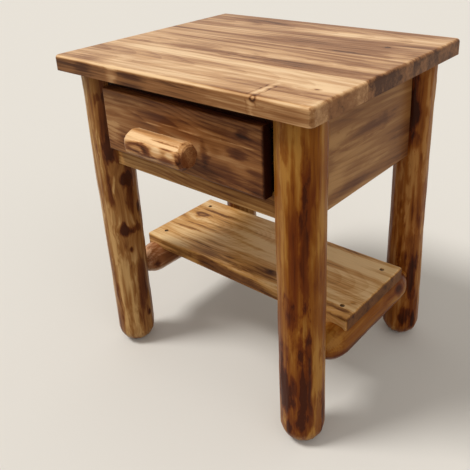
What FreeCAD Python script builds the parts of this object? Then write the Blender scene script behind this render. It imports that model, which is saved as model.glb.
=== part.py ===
import FreeCAD, Part
import os
import Sketcher

# A bedside stand of peeled logs: four log legs, board panels, a slab top glued from three boards,
# one drawer with a log pull, and a low shelf that rests on two log stretchers.
# The frame is X to the right, Y to the back, Z up. The origin is on the floor, under the middle
# of the whole outline, which runs from the front of the pull to the back edge of the top.

# Driving dimensions in millimetres
SIZES = {
    # the slab top
    "stand_height": 630,
    "top_width": 558,
    "top_depth": 463,
    "top_thickness": 28,
    "front_board": 140,
    "middle_board": 140,
    "top_edge_round": 6,
    "top_corner_round": 8,
    # the log legs
    "front_leg_diameter": 77,
    "back_leg_diameter": 74,
    "leg_side_inset": 58,
    "front_leg_inset": 58.5,
    "back_leg_inset": 41.5,
    "foot_flat_diameter": 30,
    "foot_dome": 33,
    # the boards that close the sides and the back, housed in the legs
    "panel_height": 184,
    "panel_thickness": 19,
    "panel_setback": 3,
    "housing_depth": 14,
    "fit_clearance": 0.15,
    # the two rails above and below the drawer
    "rail_thickness": 25,
    "rail_overlap": 5,
    "lower_rail_height": 43,
    "upper_rail_height": 31,
    # what carries and steers the drawer
    "runner_width": 28,
    "runner_height": 20,
    "runner_housing": 6,
    "guide_width": 6,
    "guide_height": 16,
    "guide_gap": 0.6,
    "leg_gap": 0.4,
    "cleat_width": 30,
    # the drawer
    "drawer_front_height": 116,
    "drawer_front_thickness": 19.5,
    "drawer_top_gap": 23,
    "front_side_gap": 2.2,
    "face_setback": 2,
    "front_edge_round": 4,
    "stop_gap": 0.4,
    "run_gap": 0.3,
    "box_top_gap": 7.5,
    "box_back_gap": 32.5,
    "box_wall": 12.5,
    "bottom_thickness": 6,
    "bottom_lift": 8,
    "groove_depth": 6,
    # the log pull on its two posts
    "pull_diameter": 47,
    "pull_length": 132,
    "pull_bevel_depth": 5.5,
    "pull_bevel_length": 8,
    "pull_drop": 4.5,
    "finger_gap": 12.5,
    "post_diameter": 12,
    "post_spacing": 64,
    "post_socket": 8,
    # the shelf and the logs under it
    "shelf_overhang": 33,
    "shelf_depth": 202,
    "shelf_set_back": 5,
    "shelf_thickness": 25,
    "shelf_top": 206,
    "shelf_edge_round": 4,
    "stretcher_diameter": 65,
    "stretcher_offset": 9.5,
    "stretcher_shoulder": 46,
    "seat_depth": 8,
    "tenon_diameter": 26,
    "tenon_length": 30,
    # wood screws
    "screw_shank": 4.5,
    "screw_head": 8.5,
    "screw_head_height": 3,
    "screw_clearance": 0.15,
    "screw_recess": 4,
    "shelf_screw_offset": 5,
    "shelf_screw_edge_inset": 30,
    "shelf_screw_bite": 24,
    "cleat_screw_recess": 8,
    "cleat_screw_inset": 20,
    "top_screw_bite": 16,
    "front_screw_inset": 53,
    "front_screw_bite": 13,
    "pull_screw_bite": 14,
    "box_screw_inset": 16,
    "box_screw_bite": 24,
    # how far a cutting tool starts outside the wood
    "overcut": 1,
}

# Places worked out from those dimensions
PLACES = {
    "underside": "Sizes.stand_height - Sizes.top_thickness",
    "front_radius": "Sizes.front_leg_diameter / 2",
    "back_radius": "Sizes.back_leg_diameter / 2",
    "leg_x": "Sizes.top_width / 2 - Sizes.leg_side_inset",
    "clear_half": "leg_x - max(front_radius; back_radius)",
    "back_board": "Sizes.top_depth - Sizes.front_board - Sizes.middle_board",
    "pull_reach": "Sizes.top_depth - Sizes.front_leg_inset + front_radius - Sizes.face_setback"
                  " + Sizes.finger_gap + Sizes.pull_diameter",
    "back_edge": "max(Sizes.top_depth; pull_reach) / 2",
    "back_leg_y": "back_edge - Sizes.back_leg_inset",
    "front_leg_y": "back_edge - Sizes.top_depth + Sizes.front_leg_inset",
    # side panels, back panel
    "panel_bottom": "underside - Sizes.panel_height",
    "panel_inner_x": "leg_x - Sizes.panel_setback - Sizes.panel_thickness / 2",
    "panel_front_y": "front_leg_y + front_radius - Sizes.housing_depth",
    "panel_back_y": "back_leg_y - back_radius + Sizes.housing_depth",
    "back_panel_half": "leg_x - back_radius + Sizes.housing_depth",
    "back_panel_y": "back_leg_y - Sizes.panel_setback - Sizes.panel_thickness / 2",
    # drawer front and the rails just behind it
    "face_y": "front_leg_y - front_radius + Sizes.face_setback",
    "face_back_y": "face_y + Sizes.drawer_front_thickness",
    "face_top": "underside - Sizes.drawer_top_gap",
    "face_bottom": "face_top - Sizes.drawer_front_height",
    "face_half": "leg_x - front_radius - Sizes.front_side_gap",
    "rail_y": "face_back_y + Sizes.stop_gap",
    "rail_back_y": "rail_y + Sizes.rail_thickness",
    "rail_half": "leg_x - front_radius + Sizes.housing_depth",
    "sill": "face_bottom + Sizes.rail_overlap",
    "lintel": "underside - Sizes.upper_rail_height",
    "rail_bottom": "sill - Sizes.lower_rail_height",
    # runners, guides and cleats
    "runner_outer": "clear_half - Sizes.leg_gap",
    "runner_inner": "runner_outer - Sizes.runner_width",
    "runner_bottom": "sill - Sizes.runner_height",
    "guide_inner": "runner_outer - Sizes.guide_width",
    "cleat_inner": "runner_outer - Sizes.cleat_width",
    "cleat_middle": "runner_outer - Sizes.cleat_width / 2",
    # drawer box
    "box_half": "guide_inner - Sizes.guide_gap",
    "box_inner": "box_half - Sizes.box_wall",
    "box_bottom": "sill + Sizes.run_gap",
    "box_top": "lintel - Sizes.box_top_gap",
    "box_back_y": "back_panel_y - Sizes.box_back_gap",
    "box_front_in_y": "face_back_y + Sizes.box_wall",
    "box_back_in_y": "box_back_y - Sizes.box_wall",
    "bottom_low": "box_bottom + Sizes.bottom_lift",
    "bottom_high": "bottom_low + Sizes.bottom_thickness",
    "box_screw_low": "bottom_high + Sizes.box_screw_inset",
    "box_screw_high": "box_top - Sizes.box_screw_inset",
    # pull
    "pull_radius": "Sizes.pull_diameter / 2",
    "pull_back_y": "face_y - Sizes.finger_gap",
    "pull_y": "pull_back_y - pull_radius",
    "pull_z": "(face_top + face_bottom) / 2 - Sizes.pull_drop",
    "socket_y": "pull_back_y - Sizes.post_socket",
    # shelf and stretchers
    "shelf_half": "leg_x + Sizes.shelf_overhang",
    "shelf_middle_y": "(front_leg_y + back_leg_y) / 2 + Sizes.shelf_set_back",
    "shelf_front_y": "shelf_middle_y - Sizes.shelf_depth / 2",
    "shelf_back_y": "shelf_middle_y + Sizes.shelf_depth / 2",
    "shelf_bottom": "Sizes.shelf_top - Sizes.shelf_thickness",
    "stretcher_radius": "Sizes.stretcher_diameter / 2",
    "stretcher_x": "leg_x + Sizes.stretcher_offset",
    "stretcher_z": "shelf_bottom + Sizes.seat_depth - stretcher_radius",
    "tenon_front_y": "front_leg_y + front_radius - Sizes.tenon_length",
    "tenon_back_y": "back_leg_y - back_radius + Sizes.tenon_length",
    "stretcher_length": "tenon_back_y - tenon_front_y",
    # screws
    "top_screw_front": "max(back_edge - Sizes.top_depth + Sizes.front_board / 2;"
                       " rail_back_y + Sizes.cleat_screw_inset)",
    "top_screw_middle": "back_edge - back_board - Sizes.middle_board / 2",
    "top_screw_back": "min(back_edge - back_board / 2; back_panel_y - Sizes.cleat_screw_inset)",
    "shank_hole": "Sizes.screw_shank + 2 * Sizes.screw_clearance",
    "head_hole": "Sizes.screw_head + 2 * Sizes.screw_clearance",
}

SIDES = {"left": -1, "right": 1}
BOARDS = ("front", "middle", "back")
UPRIGHT = FreeCAD.Vector(0, 0, 1)
DIRECTIONS = {
    "right": FreeCAD.Vector(1, 0, 0),
    "left": FreeCAD.Vector(-1, 0, 0),
    "front": FreeCAD.Vector(0, -1, 0),
    "back": FreeCAD.Vector(0, 1, 0),
    "up": FreeCAD.Vector(0, 0, 1),
    "down": FreeCAD.Vector(0, 0, -1),
}
OPPOSITE = {"right": "left", "left": "right", "front": "back", "back": "front", "up": "down", "down": "up"}

# A new outline is drawn with these before its formulas size it
FIRST_SIDE = 100
FIRST_BULGE = 0.15
# The middle of a sketch, as its constraints name it
SKETCH_ORIGIN = (-1, 1)
# Lengths closer than this count as the same, and a cut smaller than this as none
SAME_LENGTH = 1e-4
LEAST_CUT = 1

doc = FreeCAD.newDocument("log_nightstand")


def fill_sheet(name, cells):
    """A sheet with one named cell for each entry."""
    sheet = doc.addObject("Spreadsheet::Sheet", name)
    for row, (alias, content) in enumerate(cells.items(), 1):
        sheet.set(f"A{row}", alias)
        sheet.set(f"B{row}", str(content))
        sheet.setAlias(f"B{row}", alias)
    doc.recompute()
    return sheet


sizes = fill_sheet("Sizes", SIZES)
fill_sheet("Places", {name: "=" + formula for name, formula in PLACES.items()})

nodes = []
corner_of = {}


def linked(formula):
    """A formula that names places and sizes, as the document's own expressions write it."""
    words = []
    for word in formula.replace("(", " ( ").replace(")", " ) ").split():
        if word in PLACES:
            word = "Places." + word
        elif word in SIZES:
            word = "Sizes." + word
        words.append(word)
    return " ".join(words)


def bind(thing, **formulas):
    """Ties a feature's own properties to formulas."""
    for name, formula in formulas.items():
        thing.setExpression(name, linked(formula))


def put(thing, at, origin=("0", "0", "0")):
    """Ties a thing's place to three formulas, counted from an origin."""
    for axis, formula, start in zip("xyz", at, origin):
        thing.setExpression(f"Placement.Base.{axis}", linked(f"( {formula} ) - ( {start} )"))


def mirrored(side, near, far):
    """The span from near to far on the right, or the same span on the left, low end first."""
    if side > 0:
        return near, far
    return f"- ( {far} )", f"- ( {near} )"


def new_body(label, corner):
    """An empty body for one piece, standing at its own corner or axis."""
    piece = doc.addObject("PartDesign::Body", label)
    piece.Label = label
    put(piece, corner)
    corner_of[label] = corner
    nodes.append(piece)
    return piece


def new_sketch(piece, role):
    """A sketch on one of the piece's own origin planes."""
    plane = next(feature for feature in piece.Origin.OriginFeatures if feature.Role == role)
    sketch = piece.newObject("Sketcher::SketchObject", piece.Label + "_outline")
    sketch.AttachmentSupport = [(plane, "")]
    sketch.MapMode = "FlatFace"
    return sketch


def measure(sketch, kind, first, second, formula, guess):
    """A dimension between two sketch points, tied to a formula."""
    index = sketch.addConstraint(Sketcher.Constraint(kind, *first, *second, guess))
    sketch.setExpression(f"Constraints[{index}]", linked(formula))


def board(label, x_span, y_span, z_span):
    """A sawn board: an outline on its underside, padded to its thickness."""
    spans = (x_span, y_span, z_span)
    piece = new_body(label, tuple(low for low, high in spans))
    along_x, along_y, along_z = (f"( {high} ) - ( {low} )" for low, high in spans)
    ends = ((0, 0), (1, 0), (1, 1), (0, 1))
    corners = [FreeCAD.Vector(x, y, 0) * FIRST_SIDE for x, y in ends]
    sketch = new_sketch(piece, "XY_Plane")
    for start, end in zip(corners, corners[1:] + corners[:1]):
        sketch.addGeometry(Part.LineSegment(start, end))
    for line in range(4):
        sketch.addConstraint(Sketcher.Constraint("Coincident", line, 2, (line + 1) % 4, 1))
        sketch.addConstraint(Sketcher.Constraint("Vertical" if line % 2 else "Horizontal", line))
    sketch.addConstraint(Sketcher.Constraint("Coincident", 0, 1, *SKETCH_ORIGIN))
    measure(sketch, "DistanceX", (0, 1), (0, 2), along_x, FIRST_SIDE)
    measure(sketch, "DistanceY", (1, 1), (1, 2), along_y, FIRST_SIDE)
    pad = piece.newObject("PartDesign::Pad", label + "_pad")
    pad.Profile = sketch
    bind(pad, Length=along_z)
    sketch.Visibility = False
    doc.recompute()
    return piece


def round_edges(piece, name, radius, wanted):
    """Rounds the edges whose middle point passes a test, which gets the point and the piece's box."""
    base = piece.Tip
    box = base.Shape.BoundBox
    picked = []
    for number, edge in enumerate(base.Shape.Edges, 1):
        middle = edge.valueAt((edge.FirstParameter + edge.LastParameter) / 2)
        if wanted(middle, box):
            picked.append(f"Edge{number}")
    fillet = piece.newObject("PartDesign::Fillet", f"{piece.Label}_{name}")
    fillet.Base = (base, picked)
    bind(fillet, Radius=radius)
    doc.recompute()


def near(first, second):
    """Whether two lengths are the same."""
    return abs(first - second) < SAME_LENGTH


def turned(label, corner, plane, spin_axis, profile, arcs):
    """A round piece, turned about an axis of its sketch from a half outline of (along, out) formulas.
    arcs maps a stretch's number to the end, "start" or "end", where it runs smoothly into the next side."""
    piece = new_body(label, corner)
    sketch = new_sketch(piece, plane)
    spots = []
    for along, out in profile:
        pair = [float(sizes.evalExpression(linked(along))), float(sizes.evalExpression(linked(out)))]
        spots.append(pair[::-1] if spin_axis == "V_Axis" else pair)
    spots = [FreeCAD.Vector(x, y, 0) for x, y in spots]
    count = len(spots)
    for index in range(count):
        ends = spots[index], spots[(index + 1) % count]
        middle = (ends[0] + ends[1]) / 2
        if index in arcs:
            bulge = (ends[1] - ends[0]).cross(UPRIGHT) * FIRST_BULGE
            sketch.addGeometry(Part.Arc(ends[0], middle + bulge, ends[1]))
        else:
            sketch.addGeometry(Part.LineSegment(*ends))

    def end_at(line, spot):
        return min((1, 2), key=lambda end: (sketch.getPoint(line, end) - spot).Length)

    for index, spot in enumerate(spots):
        before = (index - 1) % count
        joint = (before, end_at(before, spot), index, end_at(index, spot))
        smooth = arcs.get(index) == "start" or arcs.get(before) == "end"
        sketch.addConstraint(Sketcher.Constraint("Tangent" if smooth else "Coincident", *joint))
    for index, (along, out) in enumerate(profile):
        point = (index, end_at(index, spots[index]))
        pair = (out, along) if spin_axis == "V_Axis" else (along, out)
        for kind, axis, formula, guess in (
            ("DistanceX", -2, pair[0], spots[index].x),
            ("DistanceY", -1, pair[1], spots[index].y),
        ):
            if formula == "0":
                sketch.addConstraint(Sketcher.Constraint("PointOnObject", *point, axis))
            else:
                measure(sketch, kind, SKETCH_ORIGIN, point, formula, guess)
    turning = piece.newObject("PartDesign::Revolution", label + "_turning")
    turning.Profile = sketch
    turning.ReferenceAxis = (sketch, [spin_axis])
    turning.Angle = 360
    sketch.Visibility = False
    doc.recompute()
    return piece


def turn_to(direction):
    """The rotation that points a tool's own axis in a named direction."""
    return FreeCAD.Rotation(UPRIGHT, DIRECTIONS[direction])


def cut_box(piece, name, x_span, y_span, z_span):
    """Cuts a box out of a piece, given by spans in the shared frame."""
    spans = (x_span, y_span, z_span)
    tool = piece.newObject("PartDesign::SubtractiveBox", f"{piece.Label}_{name}")
    lengths = [f"( {high} ) - ( {low} )" for low, high in spans]
    bind(tool, Length=lengths[0], Width=lengths[1], Height=lengths[2])
    put(tool, [low for low, high in spans], corner_of[piece.Label])


def drill(piece, name, start, direction, diameter, depth):
    """Drills a round hole from a point of the shared frame, starting a little outside the wood."""
    tool = piece.newObject("PartDesign::SubtractiveCylinder", f"{piece.Label}_{name}")
    tool.Placement = FreeCAD.Placement(FreeCAD.Vector(), turn_to(direction))
    bind(tool, Radius=f"( {diameter} ) / 2", Height=f"( {depth} ) + overcut")
    axis = "xyz"[[abs(part) for part in DIRECTIONS[direction]].index(1)]
    sign = "-" if sum(DIRECTIONS[direction]) > 0 else "+"
    outside = [f"{at} {sign} overcut" if name == axis else at for name, at in zip("xyz", start)]
    put(tool, outside, corner_of[piece.Label])


def rod(name, start, direction, diameter, length):
    """A plain round bar from a point, in a named direction."""
    bar = doc.addObject("Part::Cylinder", name)
    bar.Placement = FreeCAD.Placement(FreeCAD.Vector(), turn_to(direction))
    bind(bar, Radius=f"( {diameter} ) / 2", Height=length)
    put(bar, start)
    return bar


def group(label, members):
    """Like pieces that share one node, as separate solids."""
    together = doc.addObject("Part::Compound", label)
    together.Label = label
    together.Links = members
    nodes.append(together)


def screws(label, seats, length):
    """Round-headed wood screws. Each seat is the point under the head and the way the screw is driven."""
    members = []
    for number, (seat, drive) in enumerate(seats, 1):
        name = f"{label}_{number}"
        head = rod(name + "_head", seat, OPPOSITE[drive], "screw_head", "screw_head_height")
        shank = rod(name + "_shank", seat, drive, "screw_shank", length)
        screw = doc.addObject("Part::Fuse", name)
        screw.Base = head
        screw.Tool = shank
        members.append(screw)
    group(label, members)


# The slab top: three boards glued edge to edge, rounded along the top and at the corners
top_x = ("- top_width / 2", "top_width / 2")
board_back = {
    "front": "back_edge - back_board - middle_board",
    "middle": "back_edge - back_board",
    "back": "back_edge",
}
for name in BOARDS:
    y_span = (f"{board_back[name]} - {name}_board", board_back[name])
    slab = board(f"top_board_{name}", top_x, y_span, ("underside", "stand_height"))
    if name != "middle":
        outer = "YMin" if name == "front" else "YMax"
        round_edges(slab, "corners", "top_corner_round", lambda at, box: (
            near(at.y, getattr(box, outer)) and (near(at.x, box.XMin) or near(at.x, box.XMax))))
    round_edges(slab, "edges", "top_edge_round", lambda at, box: near(at.z, box.ZMax) and not (
        name != "back" and near(at.y, box.YMax) or name != "front" and near(at.y, box.YMin)))
    for side, sign in SIDES.items():
        drill(slab, f"pilot_{side}", (f"{sign} * cleat_middle", f"top_screw_{name}", "underside"), "up",
              "shank_hole", "top_screw_bite")

# The log legs: peeled logs with a domed foot, housed for the boards, the rails and the stretchers
leg_top = "underside + overcut"
panel_slot_z = ("panel_bottom - fit_clearance", leg_top)
mortise_diameter = "tenon_diameter + 2 * fit_clearance"
mortise_depth = "tenon_length + fit_clearance"
for side, sign in SIDES.items():
    slot_x = mirrored(sign, "panel_inner_x - fit_clearance",
                      "panel_inner_x + panel_thickness + fit_clearance")
    for end in ("front", "back"):
        leg_y = f"{end}_leg_y"
        radius = f"{end}_radius"
        foot = [("0", "0"), ("0", "foot_flat_diameter / 2"), ("foot_dome", radius)]
        leg = turned(f"leg_{end}_{side}", (f"{sign} * leg_x", leg_y, "0"), "XZ_Plane", "V_Axis",
                     foot + [("underside", radius), ("underside", "0")], {1: "end"})
        inward = f"leg_x - {radius} - overcut"
        if end == "front":
            mouth_y = f"{leg_y} + {radius}"
            slot_y = ("panel_front_y - fit_clearance", f"{mouth_y} + overcut")
            rail_slot_x = mirrored(sign, inward, "rail_half + fit_clearance")
            rail_slot_y = ("rail_y - fit_clearance", "rail_back_y + fit_clearance")
            cut_box(leg, "lower_rail_housing", rail_slot_x, rail_slot_y,
                    ("rail_bottom - fit_clearance", "sill + fit_clearance"))
            cut_box(leg, "upper_rail_housing", rail_slot_x, rail_slot_y,
                    ("lintel - fit_clearance", leg_top))
        else:
            mouth_y = f"{leg_y} - {radius}"
            slot_y = (f"{mouth_y} - overcut", "panel_back_y + fit_clearance")
            back_slot_x = mirrored(sign, inward, "back_panel_half + fit_clearance")
            back_slot_y = ("back_panel_y - fit_clearance", "back_panel_y + panel_thickness + fit_clearance")
            cut_box(leg, "back_panel_housing", back_slot_x, back_slot_y, panel_slot_z)
        cut_box(leg, "panel_housing", slot_x, slot_y, panel_slot_z)
        drill(leg, "stretcher_mortise", (f"{sign} * stretcher_x", mouth_y, "stretcher_z"), end,
              mortise_diameter, mortise_depth)

# The boards that close the two sides and the back
for side, sign in SIDES.items():
    board(f"side_panel_{side}", mirrored(sign, "panel_inner_x", "panel_inner_x + panel_thickness"),
          ("panel_front_y", "panel_back_y"), ("panel_bottom", "underside"))
back_panel = board("back_panel", ("- back_panel_half", "back_panel_half"),
                   ("back_panel_y", "back_panel_y + panel_thickness"), ("panel_bottom", "underside"))

# The rails below and above the drawer
rail_span = ("- rail_half", "rail_half")
lower_rail = board("front_rail_lower", rail_span, ("rail_y", "rail_back_y"), ("rail_bottom", "sill"))
board("front_rail_upper", rail_span, ("rail_y", "rail_back_y"), ("lintel", "underside"))

# Runners under the drawer, housed in the lower rail and the back panel, with a guide strip on each,
# and cleats above it, which hold the top down and keep the drawer from tipping
between_y = ("rail_back_y", "back_panel_y")
top_screw_seats = []
for side, sign in SIDES.items():
    runner_x = mirrored(sign, "runner_inner", "runner_outer")
    slot_x = mirrored(sign, "runner_inner - fit_clearance", "runner_outer + fit_clearance")
    runner_y = ("rail_back_y - runner_housing", "back_panel_y + runner_housing")
    board(f"drawer_runner_{side}", runner_x, runner_y, ("runner_bottom", "sill"))
    cut_box(lower_rail, f"runner_housing_{side}", slot_x,
            (f"{runner_y[0]} - fit_clearance", "rail_back_y + overcut"),
            ("runner_bottom - fit_clearance", "sill + overcut"))
    cut_box(back_panel, f"runner_housing_{side}", slot_x,
            ("back_panel_y - overcut", f"{runner_y[1]} + fit_clearance"),
            ("runner_bottom - fit_clearance", "sill + fit_clearance"))
    board(f"drawer_guide_{side}", mirrored(sign, "guide_inner", "runner_outer"), between_y,
          ("sill", "sill + guide_height"))
    cleat = board(f"top_cleat_{side}", mirrored(sign, "cleat_inner", "runner_outer"), between_y,
                  ("lintel", "underside"))
    for name in BOARDS:
        under = (f"{sign} * cleat_middle", f"top_screw_{name}", "lintel")
        drill(cleat, f"recess_{name}", under, "up", "head_hole", "cleat_screw_recess")
        drill(cleat, f"hole_{name}", under, "up", "shank_hole", "upper_rail_height + overcut")
        top_screw_seats.append(((under[0], under[1], "lintel + cleat_screw_recess"), "up"))
screws("top_screws", top_screw_seats, "upper_rail_height - cleat_screw_recess + top_screw_bite")

# The shelf board, and the two stretcher logs that it rests on
shelf = board("shelf_board", ("- shelf_half", "shelf_half"), ("shelf_front_y", "shelf_back_y"),
              ("shelf_bottom", "shelf_top"))
round_edges(shelf, "corners", "shelf_edge_round", lambda at, box: (
    (near(at.x, box.XMin) or near(at.x, box.XMax)) and (near(at.y, box.YMin) or near(at.y, box.YMax))))
round_edges(shelf, "edges", "shelf_edge_round", lambda at, box: near(at.z, box.ZMax))
shelf_screw_y = ("shelf_front_y + shelf_screw_edge_inset", "shelf_back_y - shelf_screw_edge_inset")
shelf_screw_seats = []
tenon_radius = "tenon_diameter / 2"
stretcher_outline = [
    ("0", "0"),
    ("0", tenon_radius),
    ("tenon_length", tenon_radius),
    ("tenon_length + stretcher_shoulder", "stretcher_radius"),
    ("stretcher_length - tenon_length - stretcher_shoulder", "stretcher_radius"),
    ("stretcher_length - tenon_length", tenon_radius),
    ("stretcher_length", tenon_radius),
    ("stretcher_length", "0"),
]
for side, sign in SIDES.items():
    stretcher = turned(f"stretcher_{side}", (f"{sign} * stretcher_x", "tenon_front_y", "stretcher_z"),
                       "XY_Plane", "V_Axis", stretcher_outline, {2: "end", 4: "start"})
    seat_x = mirrored(sign, "stretcher_x - stretcher_radius", "stretcher_x + stretcher_radius")
    cut_box(stretcher, "shelf_seat", seat_x, ("shelf_front_y", "shelf_back_y"),
            ("shelf_bottom", "shelf_bottom + seat_depth + overcut"))
    for number, screw_y in enumerate(shelf_screw_y, 1):
        x = f"{sign} * ( leg_x + shelf_screw_offset )"
        drill(shelf, f"recess_{side}_{number}", (x, screw_y, "shelf_top"), "down", "head_hole",
              "screw_recess")
        drill(shelf, f"hole_{side}_{number}", (x, screw_y, "shelf_top"), "down", "shank_hole",
              "shelf_thickness + overcut")
        drill(stretcher, f"pilot_{number}", (x, screw_y, "shelf_bottom"), "down", "shank_hole",
              "shelf_screw_bite")
        shelf_screw_seats.append(((x, screw_y, "shelf_top - screw_recess"), "down"))
screws("shelf_screws", shelf_screw_seats, "shelf_thickness - screw_recess + shelf_screw_bite")

# The drawer: a box of four walls and a grooved-in bottom, with a thicker front screwed to it
box_z = ("box_bottom", "box_top")
between = ("- box_inner", "box_inner")
box_front = board("drawer_box_front", between, ("face_back_y", "box_front_in_y"), box_z)
box_back = board("drawer_box_back", between, ("box_back_in_y", "box_back_y"), box_z)
groove_z = ("bottom_low - fit_clearance", "bottom_high + fit_clearance")
groove_y = ("box_front_in_y - groove_depth - fit_clearance", "box_back_in_y + groove_depth + fit_clearance")
through = ("- box_inner - overcut", "box_inner + overcut")
cut_box(box_front, "groove", through, (groove_y[0], "box_front_in_y + overcut"), groove_z)
cut_box(box_back, "groove", through, ("box_back_in_y - overcut", groove_y[1]), groove_z)
board("drawer_bottom", ("- box_inner - groove_depth", "box_inner + groove_depth"),
      ("box_front_in_y - groove_depth", "box_back_in_y + groove_depth"), ("bottom_low", "bottom_high"))
box_screw_seats = []
for side, sign in SIDES.items():
    wall = board(f"drawer_side_{side}", mirrored(sign, "box_inner", "box_half"),
                 ("face_back_y", "box_back_y"), box_z)
    groove_x = mirrored(sign, "box_inner - overcut", "box_inner + groove_depth + fit_clearance")
    cut_box(wall, "groove", groove_x, groove_y, groove_z)
    drive = OPPOSITE[side]
    for end, end_board, screw_y in (("front", box_front, "face_back_y + box_wall / 2"),
                                    ("back", box_back, "box_back_y - box_wall / 2")):
        for level in ("low", "high"):
            screw_z = f"box_screw_{level}"
            face = (f"{sign} * box_half", screw_y, screw_z)
            drill(wall, f"recess_{end}_{level}", face, drive, "head_hole", "screw_recess")
            drill(wall, f"hole_{end}_{level}", face, drive, "shank_hole", "box_wall + overcut")
            drill(end_board, f"pilot_{side}_{level}", (f"{sign} * box_inner", screw_y, screw_z), drive,
                  "shank_hole", "box_screw_bite")
            box_screw_seats.append(((f"{sign} * ( box_half - screw_recess )", screw_y, screw_z), drive))
screws("drawer_box_screws", box_screw_seats, "box_wall - screw_recess + box_screw_bite")

drawer_front = board("drawer_front", ("- face_half", "face_half"), ("face_y", "face_back_y"),
                     ("face_bottom", "face_top"))
round_edges(drawer_front, "edges", "front_edge_round", lambda at, box: near(at.y, box.YMin))
front_screw_seats = []
for side, sign in SIDES.items():
    for level in ("low", "high"):
        x = f"{sign} * ( box_inner - front_screw_inset )"
        z = f"box_screw_{level}"
        drill(box_front, f"front_hole_{side}_{level}", (x, "box_front_in_y", z), "front", "shank_hole",
              "box_wall + overcut")
        drill(drawer_front, f"pilot_{side}_{level}", (x, "face_back_y", z), "front", "shank_hole",
              "front_screw_bite")
        front_screw_seats.append(((x, "box_front_in_y", z), "front"))
screws("drawer_front_screws", front_screw_seats, "box_wall + front_screw_bite")

# The pull: a short peeled log with bevelled ends, held off the drawer front by two dowel posts
pull_end_radius = "pull_radius - pull_bevel_depth"
pull_outline = [
    ("0", "0"),
    ("0", pull_end_radius),
    ("pull_bevel_length", "pull_radius"),
    ("pull_length - pull_bevel_length", "pull_radius"),
    ("pull_length", pull_end_radius),
    ("pull_length", "0"),
]
pull = turned("drawer_pull", ("- pull_length / 2", "pull_y", "pull_z"), "XY_Plane", "H_Axis",
              pull_outline, {})
posts = []
pull_screw_seats = []
for side, sign in SIDES.items():
    x = f"{sign} * post_spacing / 2"
    drill(pull, f"socket_{side}", (x, "pull_back_y", "pull_z"), "front",
          "post_diameter + 2 * fit_clearance", "post_socket")
    drill(pull, f"pilot_{side}", (x, "socket_y", "pull_z"), "front", "shank_hole", "pull_screw_bite")
    drill(drawer_front, f"pull_hole_{side}", (x, "face_back_y", "pull_z"), "front", "shank_hole",
          "drawer_front_thickness + overcut")
    drill(box_front, f"pull_hole_{side}", (x, "box_front_in_y", "pull_z"), "front", "shank_hole",
          "box_wall + overcut")
    post = doc.addObject("Part::Cut", f"pull_post_{side}")
    post.Base = rod(f"post_{side}_dowel", (x, "face_y", "pull_z"), "front", "post_diameter",
                    "finger_gap + post_socket")
    post.Tool = rod(f"post_{side}_bore", (x, "face_y + overcut", "pull_z"), "front", "shank_hole",
                    "finger_gap + post_socket + 2 * overcut")
    posts.append(post)
    pull_screw_seats.append(((x, "box_front_in_y", "pull_z"), "front"))
group("pull_posts", posts)
screws("pull_screws", pull_screw_seats,
       "box_wall + drawer_front_thickness + finger_gap + post_socket + pull_screw_bite")

doc.recompute()

# Every feature has to have worked, every cut has to have removed wood, and every piece has to be sound
for thing in doc.Objects:
    if "Invalid" in thing.State or "Error" in thing.State:
        raise RuntimeError(f"{thing.Label} failed: {thing.State}")
    if thing.TypeId.startswith("PartDesign::Subtractive"):
        if thing.BaseFeature.Shape.Volume - thing.Shape.Volume < LEAST_CUT:
            raise RuntimeError(f"{thing.Label} cuts nothing")
for node in nodes:
    if node.Shape.isNull() or not node.Shape.isValid():
        raise RuntimeError(f"{node.Label} is not a sound solid")

os.makedirs("parts", exist_ok=True)
for node in nodes:
    node.Shape.exportStep(f"parts/{node.Label}.step")
print(len(nodes), "pieces written")
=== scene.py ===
import math

import bmesh
import bpy
from mathutils import Matrix, Vector


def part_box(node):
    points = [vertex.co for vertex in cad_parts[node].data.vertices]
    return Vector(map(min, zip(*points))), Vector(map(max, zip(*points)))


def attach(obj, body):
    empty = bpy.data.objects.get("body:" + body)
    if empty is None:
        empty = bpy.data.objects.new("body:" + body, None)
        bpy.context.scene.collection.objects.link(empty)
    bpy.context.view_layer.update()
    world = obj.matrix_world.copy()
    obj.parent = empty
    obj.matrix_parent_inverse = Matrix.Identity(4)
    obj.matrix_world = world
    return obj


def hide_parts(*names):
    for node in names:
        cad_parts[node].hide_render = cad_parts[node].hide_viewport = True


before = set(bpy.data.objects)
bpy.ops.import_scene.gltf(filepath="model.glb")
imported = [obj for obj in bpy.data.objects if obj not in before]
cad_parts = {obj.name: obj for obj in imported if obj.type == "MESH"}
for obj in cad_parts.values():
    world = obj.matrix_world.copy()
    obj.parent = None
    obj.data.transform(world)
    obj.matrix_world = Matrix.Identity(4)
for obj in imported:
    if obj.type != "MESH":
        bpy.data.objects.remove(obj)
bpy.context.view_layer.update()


# Legs: four pine logs, stripped of their bark with a drawknife that leaves long flat cuts, rounded
# over at the foot, scorched with a torch so that grain and knots turn dark, then lacquered.
# The front pair is a little stouter than the back pair. Panels are housed in all four, rails in front.

foot_rise = 0.033
foot_flat = 0.015
foot_rings = 14
ring_step = 0.004
knot_raggedness = 1.4
swell_spread = 1.6
crease_angle = 42
origin = (0.0, 0.0, 0.0)


def paint(red, green, blue):
    """A colour as it looks, from 0 to 255, made into the shader's own numbers."""
    parts = [part / 255 for part in (red, green, blue)]
    return [p / 12.92 if p < 0.0405 else ((p + 0.055) / 1.055) ** 2.4 for p in parts] + [1.0]


def plug(tree, socket, value):
    """Gives a socket a plain value, or the output of another node."""
    if isinstance(value, bpy.types.NodeSocket):
        tree.links.new(value, socket)
    else:
        socket.default_value = value


def add_node(tree, kind, inputs=None, **settings):
    """Adds a node with its settings, and with its inputs by name or by number."""
    node = tree.nodes.new(kind)
    for name, value in settings.items():
        setattr(node, name, value)
    for key, value in (inputs or {}).items():
        plug(tree, node.inputs[key], value)
    return node


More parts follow.
